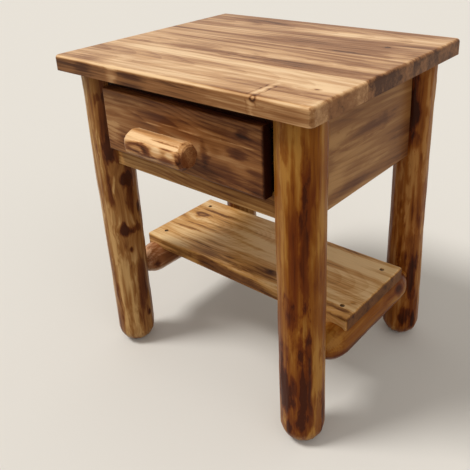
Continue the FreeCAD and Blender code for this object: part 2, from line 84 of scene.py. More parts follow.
def reckon(tree, operation, *values):
    """One step of arithmetic on numbers."""
    node = add_node(tree, "ShaderNodeMath", dict(enumerate(values)), operation=operation)
    return node.outputs[0]


def total(tree, start, *parts):
    """A start with more parts added to it, each part times its share."""
    amount = start
    for part, share in parts:
        amount = reckon(tree, "MULTIPLY_ADD", part, share, amount)
    return amount


def reckon_vector(tree, operation, *values):
    """One step of arithmetic on vectors."""
    node = add_node(tree, "ShaderNodeVectorMath", dict(enumerate(values)), operation=operation)
    return node.outputs["Value" if operation in ("LENGTH", "DOT_PRODUCT") else "Vector"]


def scaled(tree, vector, amount):
    """A vector made longer or shorter."""
    node = add_node(tree, "ShaderNodeVectorMath", {"Vector": vector, "Scale": amount}, operation="SCALE")
    return node.outputs["Vector"]


def soft_step(tree, value, low, high, start=0.0, end=1.0):
    """A smooth rise from start to end while the value goes from low to high."""
    inputs = {"Value": value, "From Min": low, "From Max": high, "To Min": start, "To Max": end}
    return add_node(tree, "ShaderNodeMapRange", inputs, interpolation_type="SMOOTHSTEP").outputs["Result"]


def mix_tones(tree, share, first, second):
    """Two colours mixed by a share of the second."""
    node = add_node(tree, "ShaderNodeMix", {0: share, 6: first, 7: second}, data_type="RGBA")
    return node.outputs[2]


def cloud(tree, place, per_metre, detail=2.0, roughness=0.5, output=0):
    """Soft noise that changes so many times per metre along, across and through the wood."""
    stretched = reckon_vector(tree, "MULTIPLY", place, per_metre)
    inputs = {"Vector": stretched, "Scale": 1.0, "Detail": detail, "Roughness": roughness}
    return add_node(tree, "ShaderNodeTexNoise", inputs).outputs[output]


def swing(tree, noise):
    """Soft noise moved so that it swings below and above nothing."""
    return reckon(tree, "SUBTRACT", noise, 0.5)


def new_group(name, inputs, outputs, kind="ShaderNodeTree"):
    """A node group, its given values by name, and the results that it has to fill.

    An input is listed with its usual value, or with the kind of thing that it takes.
    """
    group = bpy.data.node_groups.new(name, kind)
    for label, usual in inputs.items():
        if isinstance(usual, str):
            socket_kind = usual
        elif isinstance(usual, float):
            socket_kind = "Float"
        else:
            socket_kind = "Vector" if len(usual) == 3 else "Color"
        socket = group.interface.new_socket(label, in_out="INPUT", socket_type="NodeSocket" + socket_kind)
        if socket_kind != usual:
            socket.default_value = usual
    for label, socket_kind in outputs.items():
        group.interface.new_socket(label, in_out="OUTPUT", socket_type="NodeSocket" + socket_kind)
    given = group.nodes.new("NodeGroupInput").outputs
    result = group.nodes.new("NodeGroupOutput").inputs
    return group, given, result


def make_knot():
    """A branch knot: it darkens the wood round its place and makes the grain flow past it."""
    group, given, result = new_group(
        "knot",
        {"Grain": origin, "Place": origin, "Reach": (0.02, 0.01, 0.01), "Pale heart": 0.0,
         "Raggedness": knot_raggedness},
        {"Grain": "Vector", "Burn": "Float"},
    )
    fade = -0.35
    pinch = -0.72
    away = reckon_vector(group, "SUBTRACT", given["Grain"], given["Place"])
    shrunk = reckon_vector(group, "DIVIDE", away, given["Reach"])
    ragged = cloud(group, given["Grain"], (30.0, 90.0, 90.0), 3.0, 0.6)
    torn = total(group, 1.0, (swing(group, ragged), given["Raggedness"]))
    far = reckon(group, "MULTIPLY", reckon_vector(group, "LENGTH", shrunk), torn)
    near = reckon(group, "EXPONENT", reckon(group, "MULTIPLY", reckon(group, "MULTIPLY", far, far), fade))
    squeeze = total(group, 1.0, (near, pinch))
    sides = add_node(group, "ShaderNodeCombineXYZ", {"X": 1.0, "Y": squeeze, "Z": squeeze}).outputs[0]
    bent = reckon_vector(group, "MULTIPLY", away, sides)
    plug(group, result["Grain"], reckon_vector(group, "ADD", bent, given["Place"]))
    dark = soft_step(group, far, 1.7, 0.3)
    heart = reckon(group, "MULTIPLY", soft_step(group, far, 0.85, 0.35), given["Pale heart"])
    plug(group, result["Burn"], reckon(group, "MULTIPLY", dark, reckon(group, "SUBTRACT", 1.0, heart)))
    return group


def make_torch_mark():
    """A mark of the torch: a long place with a ragged edge that is browner, or was left paler."""
    group, given, result = new_group(
        "torch mark",
        {"Grain": origin, "Ragged": 0.5, "Place": origin, "Reach": (0.05, 0.01, 0.01),
         "Heat": 0.2, "Core": 0.1},
        {"Heat": "Float"},
    )
    rim = 1.35
    away = reckon_vector(group, "SUBTRACT", given["Grain"], given["Place"])
    shrunk = reckon_vector(group, "DIVIDE", away, given["Reach"])
    torn = total(group, -0.1, (given["Ragged"], 2.2))
    far = reckon(group, "MULTIPLY", reckon_vector(group, "LENGTH", shrunk), torn)
    inside = soft_step(group, far, rim, given["Core"])
    plug(group, result["Heat"], reckon(group, "MULTIPLY", inside, given["Heat"]))
    return group


def make_scorched_grain():
    """Torched pine: growth rings round a slanting heart, and heat in streaks and patches that browns it.

    Heat takes the wood from Pale through Honey and Scorch to Char. End and Edge say where the end
    grain and the worn edges are, Edge also standing for a painted highlight on them, and Side tilts the heat
    one way: on a log the way in which it was torched the most, on the shelf a painted light.
    """
    group, given, result = new_group(
        "scorched grain",
        {
            "Grain": origin, "Burn": 0.0, "Marks": 0.0, "Face": 0.0, "End": 0.0, "Edge": 0.0, "Seed": 1.0,
            "Pale": (0.6, 0.4, 0.2, 1.0),
            "Honey": (0.4, 0.2, 0.1, 1.0),
            "Scorch": (0.1, 0.04, 0.02, 1.0),
            "Char": (0.03, 0.01, 0.005, 1.0),
            "Scorching": 0.0, "Contrast": 1.0,
            "Streaks": (3.0, 50.0, 50.0),
            "Patches": (3.0, 10.0, 10.0),
            "Side": origin, "Heart": origin, "Sway": 0.03, "Ring width": 0.004, "Ring strength": 0.2,
        },
        {"Colour": "Color", "Roughness": "Float", "Relief": "Float"},
    )
    usual_heat = 0.42
    tone_steps = (("Honey", 0.16, 0.48), ("Scorch", 0.42, 0.74), ("Char", 0.70, 1.0))
    place = reckon_vector(group, "ADD", given["Grain"], scaled(group, (13.7, 7.3, 3.1), given["Seed"]))
    sway = swing(group, cloud(group, place, (2.6, 12.0, 12.0), 2.0))
    drift = swing(group, cloud(group, place, (5.0, 7.0, 7.0), 1.0))
    grain = add_node(group, "ShaderNodeSeparateXYZ", {0: given["Grain"]}).outputs
    heart = add_node(group, "ShaderNodeSeparateXYZ", {0: given["Heart"]}).outputs
    across = reckon(group, "SUBTRACT", grain["Y"], heart["Y"])
    through = reckon(group, "SUBTRACT", grain["Z"], heart["Z"])
    swayed = total(group, across, (sway, given["Sway"]))
    drifted = total(group, through, (grain["X"], heart["X"]), (drift, given["Sway"]))
    radius = reckon(group, "SQRT", total(group, 0.0, (drifted, drifted), (swayed, swayed)))
    year = reckon(group, "FRACT", reckon(group, "DIVIDE", radius, given["Ring width"]))
    late = reckon(group, "MULTIPLY", soft_step(group, year, 0.3, 0.9), soft_step(group, year, 1.0, 0.93))
    fine_streaks = reckon_vector(group, "MULTIPLY", given["Streaks"], (1.7, 3.4, 3.4))
    broad = swing(group, cloud(group, place, given["Streaks"], 1.5, 0.5))
    narrow = swing(group, cloud(group, place, fine_streaks, 3.0, 0.6))
    moved = reckon_vector(group, "ADD", place, (5.0, 2.0, 9.0))
    patches = swing(group, cloud(group, moved, given["Patches"], 2.0))
    fibres = cloud(group, place, (16.0, 620.0, 620.0), 2.0, 0.6)
    play = total(group, 0.0, (broad, 1.3), (narrow, 0.9), (patches, 1.2))
    liveliness = reckon(group, "MULTIPLY", given["Contrast"], total(group, 1.0, (given["End"], -0.6)))
    clearness = reckon(group, "MULTIPLY", given["Ring strength"], total(group, 1.0, (given["End"], -0.7)))
    leaning = reckon_vector(group, "DOT_PRODUCT", given["Grain"], given["Side"])
    heat = total(
        group, usual_heat, (play, liveliness), (given["Scorching"], 1.0), (leaning, 1.0),
        (reckon(group, "SUBTRACT", late, 0.3), clearness), (given["Face"], 1.0), (given["Marks"], 1.0),
        (given["Edge"], -0.22), (given["Burn"], 0.5), (swing(group, fibres), 0.25),
    )
    colour = given["Pale"]
    for tone, low, high in tone_steps:
        colour = mix_tones(group, soft_step(group, heat, low, high), colour, given[tone])
    plug(group, result["Colour"], scaled(group, colour, total(group, 0.85, (fibres, 0.3))))
    browned = soft_step(group, heat, 0.4, 1.0)
    plug(group, result["Roughness"], total(group, 0.24, (fibres, 0.2), (browned, 0.1)))
    plug(group, result["Relief"], total(group, fibres, (late, 0.45), (heat, -0.6)))
    return group


knot_group = make_knot()
torch_mark = make_torch_mark()
scorched_grain = make_scorched_grain()
grain_order = {"x": "XYZ", "y": "YXZ", "z": "ZXY"}


def new_material(name):
    """A new material, its tree and the inputs of its shader."""
    material = bpy.data.materials.new(name)
    material.use_nodes = True
    return material, material.node_tree, material.node_tree.nodes["Principled BSDF"].inputs


def scorched_pine(name, along, centre, tones, knots=(), marks=(), faces=None, wander=(0.02, 0.003, 0.003),
                  core=0.1, edge_wear_and_highlight=0.0, **values):
    """Lacquered pine, its grain along one axis from a centre, with knots and torch marks on the grain.

    A mark gives its place, reach and heat. A knot gives its place, its reach, how pale its heart is and
    how ragged it is. Faces says how much browner the wood is on the faces that look along x, y and z,
    and wander how far the torch strayed along, across and through the grain. A wide core gives the
    marks a crisp edge.
    """
    lacquer = {"Specular IOR Level": 0.1, "Specular Tint": (1.0, 0.78, 0.55, 1.0),
               "Coat Weight": 0.06, "Coat Roughness": 0.16}
    end_grain_heat = 0.14
    material, tree, shader = new_material(name)
    where = add_node(tree, "ShaderNodeTexCoord").outputs
    order = grain_order[along]
    local = reckon_vector(tree, "SUBTRACT", where["Object"], tuple(centre))
    parts = add_node(tree, "ShaderNodeSeparateXYZ", {0: local}).outputs
    ordered = {number: parts[axis] for number, axis in enumerate(order)}
    grain = add_node(tree, "ShaderNodeCombineXYZ", ordered).outputs[0]
    bare = reckon_vector(tree, "ABSOLUTE", where["Normal"])
    sides = add_node(tree, "ShaderNodeSeparateXYZ", {0: bare}).outputs
    endward = sides[order[0]]
    squarest = reckon(tree, "MAXIMUM", reckon(tree, "MAXIMUM", sides["X"], sides["Y"]), sides["Z"])
    faces = faces or [end_grain_heat if axis == along else 0.0 for axis in "xyz"]
    face = reckon_vector(tree, "DOT_PRODUCT", reckon_vector(tree, "MULTIPLY", bare, bare), faces)
    ragged = cloud(tree, grain, (26.0, 95.0, 95.0), 4.0, 0.62)
    shaky = cloud(tree, grain, (14.0, 45.0, 45.0), output="Color")
    shaken = reckon_vector(tree, "SUBTRACT", shaky, (0.5, 0.5, 0.5))
    strayed = reckon_vector(tree, "MULTIPLY_ADD", shaken, wander, grain)
    heat = 0.0
    for place, reach, amount in marks:
        inputs = {"Grain": strayed, "Ragged": ragged, "Place": place, "Reach": reach, "Heat": amount,
                  "Core": core}
        mark = add_node(tree, "ShaderNodeGroup", inputs, node_tree=torch_mark)
        heat = reckon(tree, "ADD", heat, mark.outputs["Heat"])
    burn = 0.0
    for place, reach, pale_heart, raggedness in knots:
        inputs = {"Grain": grain, "Place": place, "Reach": reach, "Pale heart": pale_heart,
                  "Raggedness": raggedness}
        knot = add_node(tree, "ShaderNodeGroup", inputs, node_tree=knot_group)
        grain = knot.outputs["Grain"]
        burn = reckon(tree, "MAXIMUM", burn, knot.outputs["Burn"])
    # Rounded edges are paler: partly wear, partly a painted highlight.
    edge = soft_step(tree, squarest, 0.985, 0.8, 0.0, edge_wear_and_highlight)
    edge = reckon(tree, "MULTIPLY", edge, soft_step(tree, endward, 0.5, 0.15))
    inputs = {"Grain": grain, "Marks": heat, "Burn": burn, "Face": face, "Edge": edge,
              "End": soft_step(tree, endward, 0.55, 0.95)}
    inputs.update({tone: paint(*colour) for tone, colour in zip(("Pale", "Honey", "Scorch", "Char"), tones)})
    inputs.update({label.replace("_", " ").capitalize(): value for label, value in values.items()})
    wood = add_node(tree, "ShaderNodeGroup", inputs, node_tree=scorched_grain).outputs
    bump = add_node(tree, "ShaderNodeBump", {"Strength": 0.35, "Distance": 0.0004, "Height": wood["Relief"]})
    for label, value in lacquer.items():
        shader[label].default_value = value
    plug(tree, shader["Base Color"], wood["Colour"])
    plug(tree, shader["Roughness"], wood["Roughness"])
    plug(tree, shader["Normal"], bump.outputs["Normal"])
    return material


def finish_tree(tree, shape, finish, result):
    """The end of a tree of geometry nodes: one real mesh, with its material."""
    real = add_node(tree, "GeometryNodeRealizeInstances", {0: shape}).outputs[0]
    done = add_node(tree, "GeometryNodeSetMaterial", {"Geometry": real, "Material": finish})
    plug(tree, result, done.outputs[0])


def make_peeled_log():
    """The drawknife's work on a round blank: long flat cuts round the log, and a slow unevenness."""
    tree, given, result = new_group(
        "peeled log",
        {
            "Blank": "Geometry", "Axis": (0.0, 0.0, 1.0), "Centre": origin, "Radius": 0.0385,
            "Cut depth": 0.0008, "Cut length": 6.0, "Cuts per metre": 55.0, "Unevenness": 0.001,
            "Seed": 1.0, "Finish": "Material",
        },
        {"Log": "Geometry"},
        "GeometryNodeTree",
    )
    steepest = 0.6
    position = add_node(tree, "GeometryNodeInputPosition").outputs[0]
    offset = reckon_vector(tree, "SUBTRACT", position, given["Centre"])
    along = reckon_vector(tree, "DOT_PRODUCT", offset, given["Axis"])
    spine = scaled(tree, given["Axis"], along)
    spread = reckon_vector(tree, "SUBTRACT", offset, spine)
    reach = reckon_vector(tree, "LENGTH", spread)
    outward = reckon_vector(tree, "NORMALIZE", spread)
    apart = scaled(tree, (3.1, 1.7, 2.3), given["Seed"])
    rim = scaled(tree, outward, given["Radius"])
    drawn = scaled(tree, given["Axis"], reckon(tree, "DIVIDE", along, given["Cut length"]))
    sample = reckon_vector(tree, "ADD", reckon_vector(tree, "ADD", rim, drawn), apart)
    inputs = {"Vector": sample, "Scale": given["Cuts per metre"], "Smoothness": 0.35}
    cells = add_node(tree, "ShaderNodeTexVoronoi", inputs, feature="SMOOTH_F1")
    cell = reckon_vector(tree, "SUBTRACT", cells.outputs["Position"], apart)
    cell_along = reckon_vector(tree, "DOT_PRODUCT", cell, given["Axis"])
    cell_spread = reckon_vector(tree, "SUBTRACT", cell, scaled(tree, given["Axis"], cell_along))
    cut_facing = reckon_vector(tree, "NORMALIZE", cell_spread)
    turned = reckon(tree, "MAXIMUM", reckon_vector(tree, "DOT_PRODUCT", outward, cut_facing), steepest)
    flat = reckon(tree, "DIVIDE", reckon(tree, "SUBTRACT", reach, given["Cut depth"]), turned)
    trimmed = reckon(tree, "MINIMUM", reach, flat)
    uneven = reckon(tree, "MULTIPLY", cloud(tree, sample, (26.0, 26.0, 26.0), 1.0), given["Unevenness"])
    lowered = reckon(tree, "MAXIMUM", reckon(tree, "SUBTRACT", trimmed, uneven), 0.0)
    middle = reckon_vector(tree, "ADD", given["Centre"], spine)
    moved = reckon_vector(tree, "ADD", middle, scaled(tree, outward, lowered))
    shaped = add_node(tree, "GeometryNodeSetPosition", {"Geometry": given["Blank"], "Position": moved})
    finish_tree(tree, shaped.outputs[0], given["Finish"], result["Log"])
    return tree


peeled_log = make_peeled_log()
log_axes = {"x": Vector((1, 0, 0)), "y": Vector((0, 1, 0)), "z": Vector((0, 0, 1))}


def put_in_scene(name, data):
    """A new object in the scene."""
    thing = bpy.data.objects.new(name, data)
    bpy.context.scene.collection.objects.link(thing)
    return thing


def piece_from(shape, name):
    """A new piece from a shape that is finished with."""
    mesh = bpy.data.meshes.new(name)
    shape.to_mesh(mesh)
    shape.free()
    return put_in_scene(name, mesh)


def point_on(along, axis, place, side, rise):
    """A point beside a log's axis, from its place along the axis and two distances away from it."""
    if along == "x":
        return Vector((place, axis.y + side, axis.z + rise))
    if along == "y":
        return Vector((axis.x + side, place, axis.z + rise))
    return Vector((axis.x + side, axis.y + rise, place))


def turned_blank(name, outline, along, axis, swells=(), sides=96):
    """A closed round blank, from places along its axis and their radii. Swells are knots that stand proud."""
    shape = bmesh.new()
    rings = []
    for place, radius in outline:
        ring = []
        for turn in range(sides if radius > 0 else 1):
            angle = math.tau * turn / sides
            proud = 0.0
            for knot_place, knot_angle, height, size in swells:
                round_the_log = math.remainder(angle - knot_angle, math.tau) * radius
                proud += height * math.exp(-((place - knot_place) ** 2 + round_the_log**2) / size**2)
            out = radius + proud if radius > 0 else 0.0
            spot = point_on(along, axis, place, out * math.cos(angle), out * math.sin(angle))
            ring.append(shape.verts.new(spot))
        rings.append(ring)
    for lower, upper in zip(rings, rings[1:]):
        for turn in range(sides):
            after = turn + 1
            corners = [lower[turn % len(lower)], lower[after % len(lower)]]
            corners += [upper[after % len(upper)], upper[turn % len(upper)]]
            shape.faces.new(list(dict.fromkeys(corners)))
    bmesh.ops.recalc_face_normals(shape, faces=shape.faces)
    blank = piece_from(shape, name)
    blank.data.shade_smooth()
    return blank


def work_on(piece, tree, values):
    """Runs a tree of geometry nodes on a piece with its values by name, and keeps the plain mesh."""
    work = piece.modifiers.new("work", "NODES")
    work.node_group = tree
    for socket in tree.interface.items_tree:
        if socket.in_out == "INPUT" and socket.name in values:
            work[socket.identifier] = values[socket.name]
    graph = bpy.context.evaluated_depsgraph_get()
    made = bpy.data.meshes.new_from_object(piece.evaluated_get(graph))
    piece.modifiers.clear()
    piece.data = made


def peel(name, outline, along, axis, radius, finish, seed, swells=(), **cuts):
    """A finished log: a round blank that the drawknife has been over."""
    log = turned_blank(name, outline, along, axis, swells)
    values = {"Axis": log_axes[along], "Centre": axis, "Radius": radius, "Finish": finish, "Seed": seed}
    values.update({label.replace("_", " ").capitalize(): amount for label, amount in cuts.items()})
    work_on(log, peeled_log, values)
    log.data.set_sharp_from_angle(angle=math.radians(crease_angle))
    return log


def rounded_end(thin, full, length, steps):
    """The outline of a log's end, bowed from a thin round to the full one: places and radii."""
    spread = full - thin
    bow = (spread**2 + length**2) / (2 * spread)
    start = math.asin(length / bow)
    angles = [start * (1 - step / steps) for step in range(steps + 1)]
    return [(length - bow * math.sin(a), full - bow + bow * math.cos(a)) for a in angles]


def rings_between(first, last, radius, count):
    """Rings of one radius, evenly spaced between two places."""
    return [(first + (last - first) * step / count, radius) for step in range(1, count)]


def on_the_round(radius, place, direction, long_reach, side_reach):
    """A place on a log's round side, and how far something reaches there, in grain coordinates."""
    turn = math.radians(direction)
    return (place, radius * math.cos(turn), radius * math.sin(turn)), (long_reach, side_reach, side_reach)


def stoutness(places, height):
    """How much thicker a log has grown at a height, smoothly between the places that say."""
    for (low, start), (high, end) in zip(places, places[1:]):
        if height <= high:
            share = (height - low) / (high - low)
            return start + (end - start) * share * share * (3 - 2 * share)
    return places[-1][1]


# Knots give height, direction, half length, half width and swell, and marks give heat instead of
# swell: torch marks, and on the front left leg one painted light on the side in shade beside the drawer.
# Girth gives heights and the radius added there, and the scorched side its direction and strength.
leg_tones = {
    "leg_front_left": [(210, 166, 108), (160, 109, 58), (109, 58, 27), (68, 31, 15)],
    "leg_front_right": [(182, 128, 58), (144, 84, 24), (108, 48, 9), (68, 24, 4)],
    "leg_back_left": [(196, 146, 86), (152, 98, 44), (100, 50, 20), (52, 20, 8)],
    "leg_back_right": [(180, 126, 68), (140, 80, 28), (94, 40, 11), (48, 15, 4)],
}
leg_knots = {
    "leg_front_left": [
        (0.391, -13, 0.011, 0.011, 0.001), (0.279, -30, 0.01, 0.012, 0.0015),
        (0.236, -23, 0.006, 0.004, 0.0005), (0.321, 22, 0.01, 0.005, 0.0012),
        (0.07, 15, 0.006, 0.004, 0.0008), (0.45, -44, 0.018, 0.01, 0.0042),
        (0.18, 150, 0.016, 0.01, 0.0014),
    ],
    "leg_front_right": [(0.3, 120, 0.018, 0.01, 0.0014), (0.21, 40, 0.01, 0.006, 0.001)],
    "leg_back_left": [
        (0.33, 160, 0.016, 0.01, 0.0014), (0.13, 60, 0.014, 0.009, 0.0012),
        (0.25, -40, 0.012, 0.008, 0.0012),
    ],
    "leg_back_right": [(0.3, 60, 0.014, 0.009, 0.0012)],
}
leg_marks = {
    "leg_front_left": [
        # (0.53, 0, ...) is painted light: paler wood on the leg's right side, which lies in shade beside the
        # drawer front.
        (0.545, -60, 0.085, 0.026, 0.24), (0.53, 0, 0.07, 0.02, -0.26), (0.14, -56, 0.1, 0.018, -0.21),
        (0.294, -72, 0.085, 0.012, -0.16), (0.381, -46, 0.019, 0.003, -0.3),
        (0.045, -47, 0.04, 0.02, -0.2), (0.42, -105, 0.16, 0.01, -0.12), (0.563, -45, 0.011, 0.006, 0.35),
        (0.554, -65, 0.009, 0.005, 0.22), (0.45, -46, 0.026, 0.01, 0.36),
        (0.419, -60, 0.015, 0.004, 0.36), (0.391, -13, 0.011, 0.012, 0.32),
        (0.354, -7, 0.037, 0.004, 0.2), (0.37, -63, 0.028, 0.008, 0.26), (0.321, 22, 0.01, 0.004, 0.3),
        (0.279, -30, 0.013, 0.011, 0.36), (0.281, 0, 0.012, 0.014, 0.28),
        (0.175, -28, 0.059, 0.005, 0.24), (0.154, 3, 0.055, 0.012, 0.24),
        (0.112, -84, 0.061, 0.005, 0.28), (0.061, -25, 0.025, 0.007, 0.14),
        (0.442, -78, 0.038, 0.003, 0.2), (0.2, 150, 0.06, 0.011, 0.25), (0.42, 120, 0.07, 0.01, 0.2),
        (0.11, -150, 0.05, 0.01, 0.2),
    ],
    "leg_front_right": [
        (0.12, -70, 0.13, 0.032, 0.3), (0.33, -55, 0.12, 0.03, 0.16), (0.52, -60, 0.08, 0.03, -0.06),
        (0.475, -96, 0.09, 0.008, -0.2), (0.402, -20, 0.065, 0.007, -0.14),
        (0.127, -22, 0.097, 0.006, -0.34), (0.06, -107, 0.023, 0.008, -0.26),
        (0.014, -50, 0.014, 0.018, -0.36), (0.221, -78, 0.024, 0.005, -0.14),
        (0.511, -48, 0.075, 0.007, 0.18), (0.381, -48, 0.095, 0.008, 0.26),
        (0.577, -59, 0.011, 0.006, 0.14), (0.552, -96, 0.015, 0.004, 0.18),
        (0.278, -82, 0.034, 0.006, 0.26), (0.213, -39, 0.056, 0.006, 0.26),
        (0.224, -58, 0.049, 0.004, 0.2), (0.122, -105, 0.055, 0.011, 0.42),
        (0.121, -58, 0.07, 0.007, 0.42), (0.056, -62, 0.02, 0.008, 0.3), (0.038, -93, 0.016, 0.006, 0.28),
        (0.09, 10, 0.079, 0.006, 0.36), (0.138, -79, 0.043, 0.005, 0.26), (0.45, 100, 0.07, 0.01, 0.25),
        (0.2, 60, 0.06, 0.012, 0.28), (0.3, 160, 0.08, 0.01, -0.2),
    ],
    "leg_back_left": [
        (0.3, -150, 0.06, 0.01, 0.2), (0.12, 170, 0.05, 0.01, 0.25), (0.45, 120, 0.08, 0.009, -0.15),
        (0.22, -60, 0.07, 0.01, 0.25), (0.15, 80, 0.06, 0.011, 0.22), (0.38, 60, 0.08, 0.008, -0.18),
    ],
    "leg_back_right": [
        (0.5, -60, 0.09, 0.03, 0.16), (0.34, -60, 0.1, 0.034, -0.22), (0.09, -55, 0.09, 0.03, 0.17),
        (0.488, -23, 0.11, 0.006, -0.24), (0.207, 4, 0.11, 0.005, -0.2), (0.36, -45, 0.06, 0.008, -0.1),
        (0.525, -97, 0.041, 0.006, -0.08), (0.285, -42, 0.04, 0.008, -0.12),
        (0.097, -57, 0.022, 0.015, -0.08), (0.518, -78, 0.06, 0.012, 0.42),
        (0.509, -58, 0.042, 0.008, 0.22), (0.452, -52, 0.02, 0.011, 0.2), (0.347, -84, 0.07, 0.009, 0.22),
        (0.26, -85, 0.06, 0.008, 0.26), (0.188, -69, 0.025, 0.01, 0.28), (0.157, -35, 0.049, 0.011, 0.28),
        (0.051, -59, 0.02, 0.01, 0.34), (0.036, -19, 0.022, 0.007, 0.26), (0.4, 80, 0.07, 0.011, 0.25),
        (0.2, 130, 0.06, 0.011, 0.28), (0.12, 30, 0.04, 0.01, 0.2),
    ],
}
leg_girth = {
    "leg_front_left": [(0.0, 0.0), (0.15, 0.0), (0.3, 0.0012), (0.42, 0.0022), (0.61, 0.001)],
    "leg_front_right": [(0.0, 0.0008), (0.2, 0.0015), (0.45, 0.0016), (0.61, 0.0012)],
    "leg_back_left": [(0.0, 0.0), (0.3, -0.001), (0.61, 0.0005)],
    "leg_back_right": [(0.0, 0.0006), (0.12, 0.0), (0.3, -0.0028), (0.5, -0.0025), (0.61, -0.001)],
}
scorched_side = {
    "leg_front_left": (10, 0.04),
    "leg_front_right": (-20, 0.03),
    "leg_back_left": (200, 0.06),
    "leg_back_right": (-110, 0.06),
}
for number, (node, knots) in enumerate(leg_knots.items(), 1):
    low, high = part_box(node)
    radius = (high.x - low.x) / 2
    axis = (low + high) / 2
    rings = round((high.z - foot_rise) / ring_step)
    outline = rounded_end(foot_flat, radius, foot_rise, foot_rings)
    outline += rings_between(foot_rise, high.z, radius, rings) + [(high.z, radius)]
    outline = [(at, out + stoutness(leg_girth[node], at)) for at, out in outline]
    outline = [(low.z, 0.0)] + outline + [(high.z, 0.0)]
    spots = []
    swells = []
    for height, direction, long_reach, side_reach, swell in knots:
        place, reach = on_the_round(radius, height - axis.z, direction, long_reach, side_reach)
        spots.append((place, reach, 0.0, knot_raggedness))
        swells.append((height, math.radians(direction), swell, side_reach * swell_spread))
    marks = []
    for height, direction, long_reach, side_reach, heat in leg_marks[node]:
        marks.append((*on_the_round(radius, height - axis.z, direction, long_reach, side_reach), heat))
    direction, strength = scorched_side[node]
    turn = math.radians(direction)
    finish = scorched_pine(
        f"{node}_pine", "z", axis, leg_tones[node], spots, marks, (0.0, 0.0, 0.05), (0.07, 0.024, 0.024),
        core=0.6, seed=float(number), contrast=0.72, streaks=(4.0, 46.0, 46.0), patches=(7.0, 24.0, 24.0),
        side=(0.0, math.cos(turn) * strength / radius, math.sin(turn) * strength / radius),
        heart=(0.01, 0.004, -0.003), sway=0.012, ring_width=0.0022, ring_strength=0.06,
    )
    leg = peel(
        f"peeled_{node}", outline, "z", axis, radius, finish, float(number), swells,
        cut_depth=0.0010, cut_length=7.0, cuts_per_metre=52.0, unevenness=0.0012,
    )
    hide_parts(node)
    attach(leg, "stand")


# Stretchers: two shorter logs, one low on each side between a front and a back leg. Their ends are
# rounded down to round tenons that are glued in the legs, and a flat is planed on top for the shelf.

tenon_radius = 0.013
tenon_length = 0.030
shoulder_length = 0.046
shoulder_rings = 10
flat_clearance = 0.0001
flat_overrun = 0.0002
flat_wall = 0.0004
shelf_low, shelf_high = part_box("shelf_board")
stretcher_knots = {
    "stretcher_left": [(-0.122, -2, 0.008, 0.008), (-0.08, -140, 0.01, 0.008), (0.06, 150, 0.012, 0.009)],
    "stretcher_right": [(-0.07, -35, 0.011, 0.008), (0.085, 20, 0.012, 0.009)],
}
stretcher_tones = {
    "stretcher_left": [(216, 168, 128), (150, 95, 56), (95, 48, 26), (52, 20, 12)],
    "stretcher_right": [(170, 116, 50), (132, 74, 20), (98, 42, 8), (60, 21, 4)],
}
stretcher_marks_and_highlight = [
    # The first mark is a painted highlight on the round of the front end; the second makes the back half
    # browner.
    ((-0.13, -0.004, 0.022), (0.016, 0.018, 0.012), -0.5),
    ((0.1, 0.024, 0.018), (0.07, 0.016, 0.016), 0.34),
]
for number, (node, knots) in enumerate(stretcher_knots.items(), 5):
    low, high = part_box(node)
    radius = (high.x - low.x) / 2
    axis = Vector(((low.x + high.x) / 2, (low.y + high.y) / 2, low.z + radius))
    shoulder = rounded_end(tenon_radius, radius, shoulder_length, shoulder_rings)
    front_half = [(low.y, 0.0), (low.y, tenon_radius)]
    front_half += [(low.y + tenon_length + at, out) for at, out in shoulder]
    back_half = [(low.y + high.y - at, out) for at, out in reversed(front_half)]
    first, last = front_half[-1][0], back_half[0][0]
    between = rings_between(first, last, radius, round((last - first) / ring_step))
    outline = front_half + between + back_half
    for flat_end, outward in ((shelf_low.y, -1), (shelf_high.y, 1)):
        for place in (flat_end + outward * flat_wall, flat_end + outward * flat_clearance):
            after = next(index for index, ring in enumerate(outline) if ring[0] > place)
            outline.insert(after, (place, min(outline[after - 1][1], outline[after][1])))
    spots = [(*on_the_round(radius, *knot), 0.0, 1.0) for knot in knots]
    finish = scorched_pine(
        f"{node}_pine", "y", axis, stretcher_tones[node], spots, stretcher_marks_and_highlight, (0.0, 0.06, 0.0),
        seed=float(number), scorching=-0.02, contrast=0.6, streaks=(4.0, 36.0, 36.0),
        patches=(5.0, 18.0, 18.0), heart=(0.01, 0.003, -0.002), sway=0.012, ring_width=0.0022,
        ring_strength=0.06,
    )
    stretcher = peel(
        f"peeled_{node}", outline, "y", axis, radius, finish, float(number),
        cut_depth=0.0009, cut_length=6.0, cuts_per_metre=58.0, unevenness=0.0010,
    )
    for vertex in stretcher.data.vertices:
        if shelf_low.y - flat_overrun <= vertex.co.y <= shelf_high.y + flat_overrun:
            vertex.co.z = min(vertex.co.z, shelf_low.z - flat_clearance)
    stretcher.data.update()
    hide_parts(node)
    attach(stretcher, "stand")


# Side and back panels: single scorched pine boards housed between the legs, close under the table top.
# The grain runs from leg to leg, and the edges that show are eased with a block plane.

panel_ease = 0.0018
same_point = 0.00001
same_side = 0.00002


def merged_copy(node):
    """A copy of a CAD node's mesh to work on, its loose triangles joined up."""
    shape = bmesh.new()
    shape.from_mesh(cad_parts[node].data)
    bmesh.ops.remove_doubles(shape, verts=shape.verts, dist=same_point)
    return shape


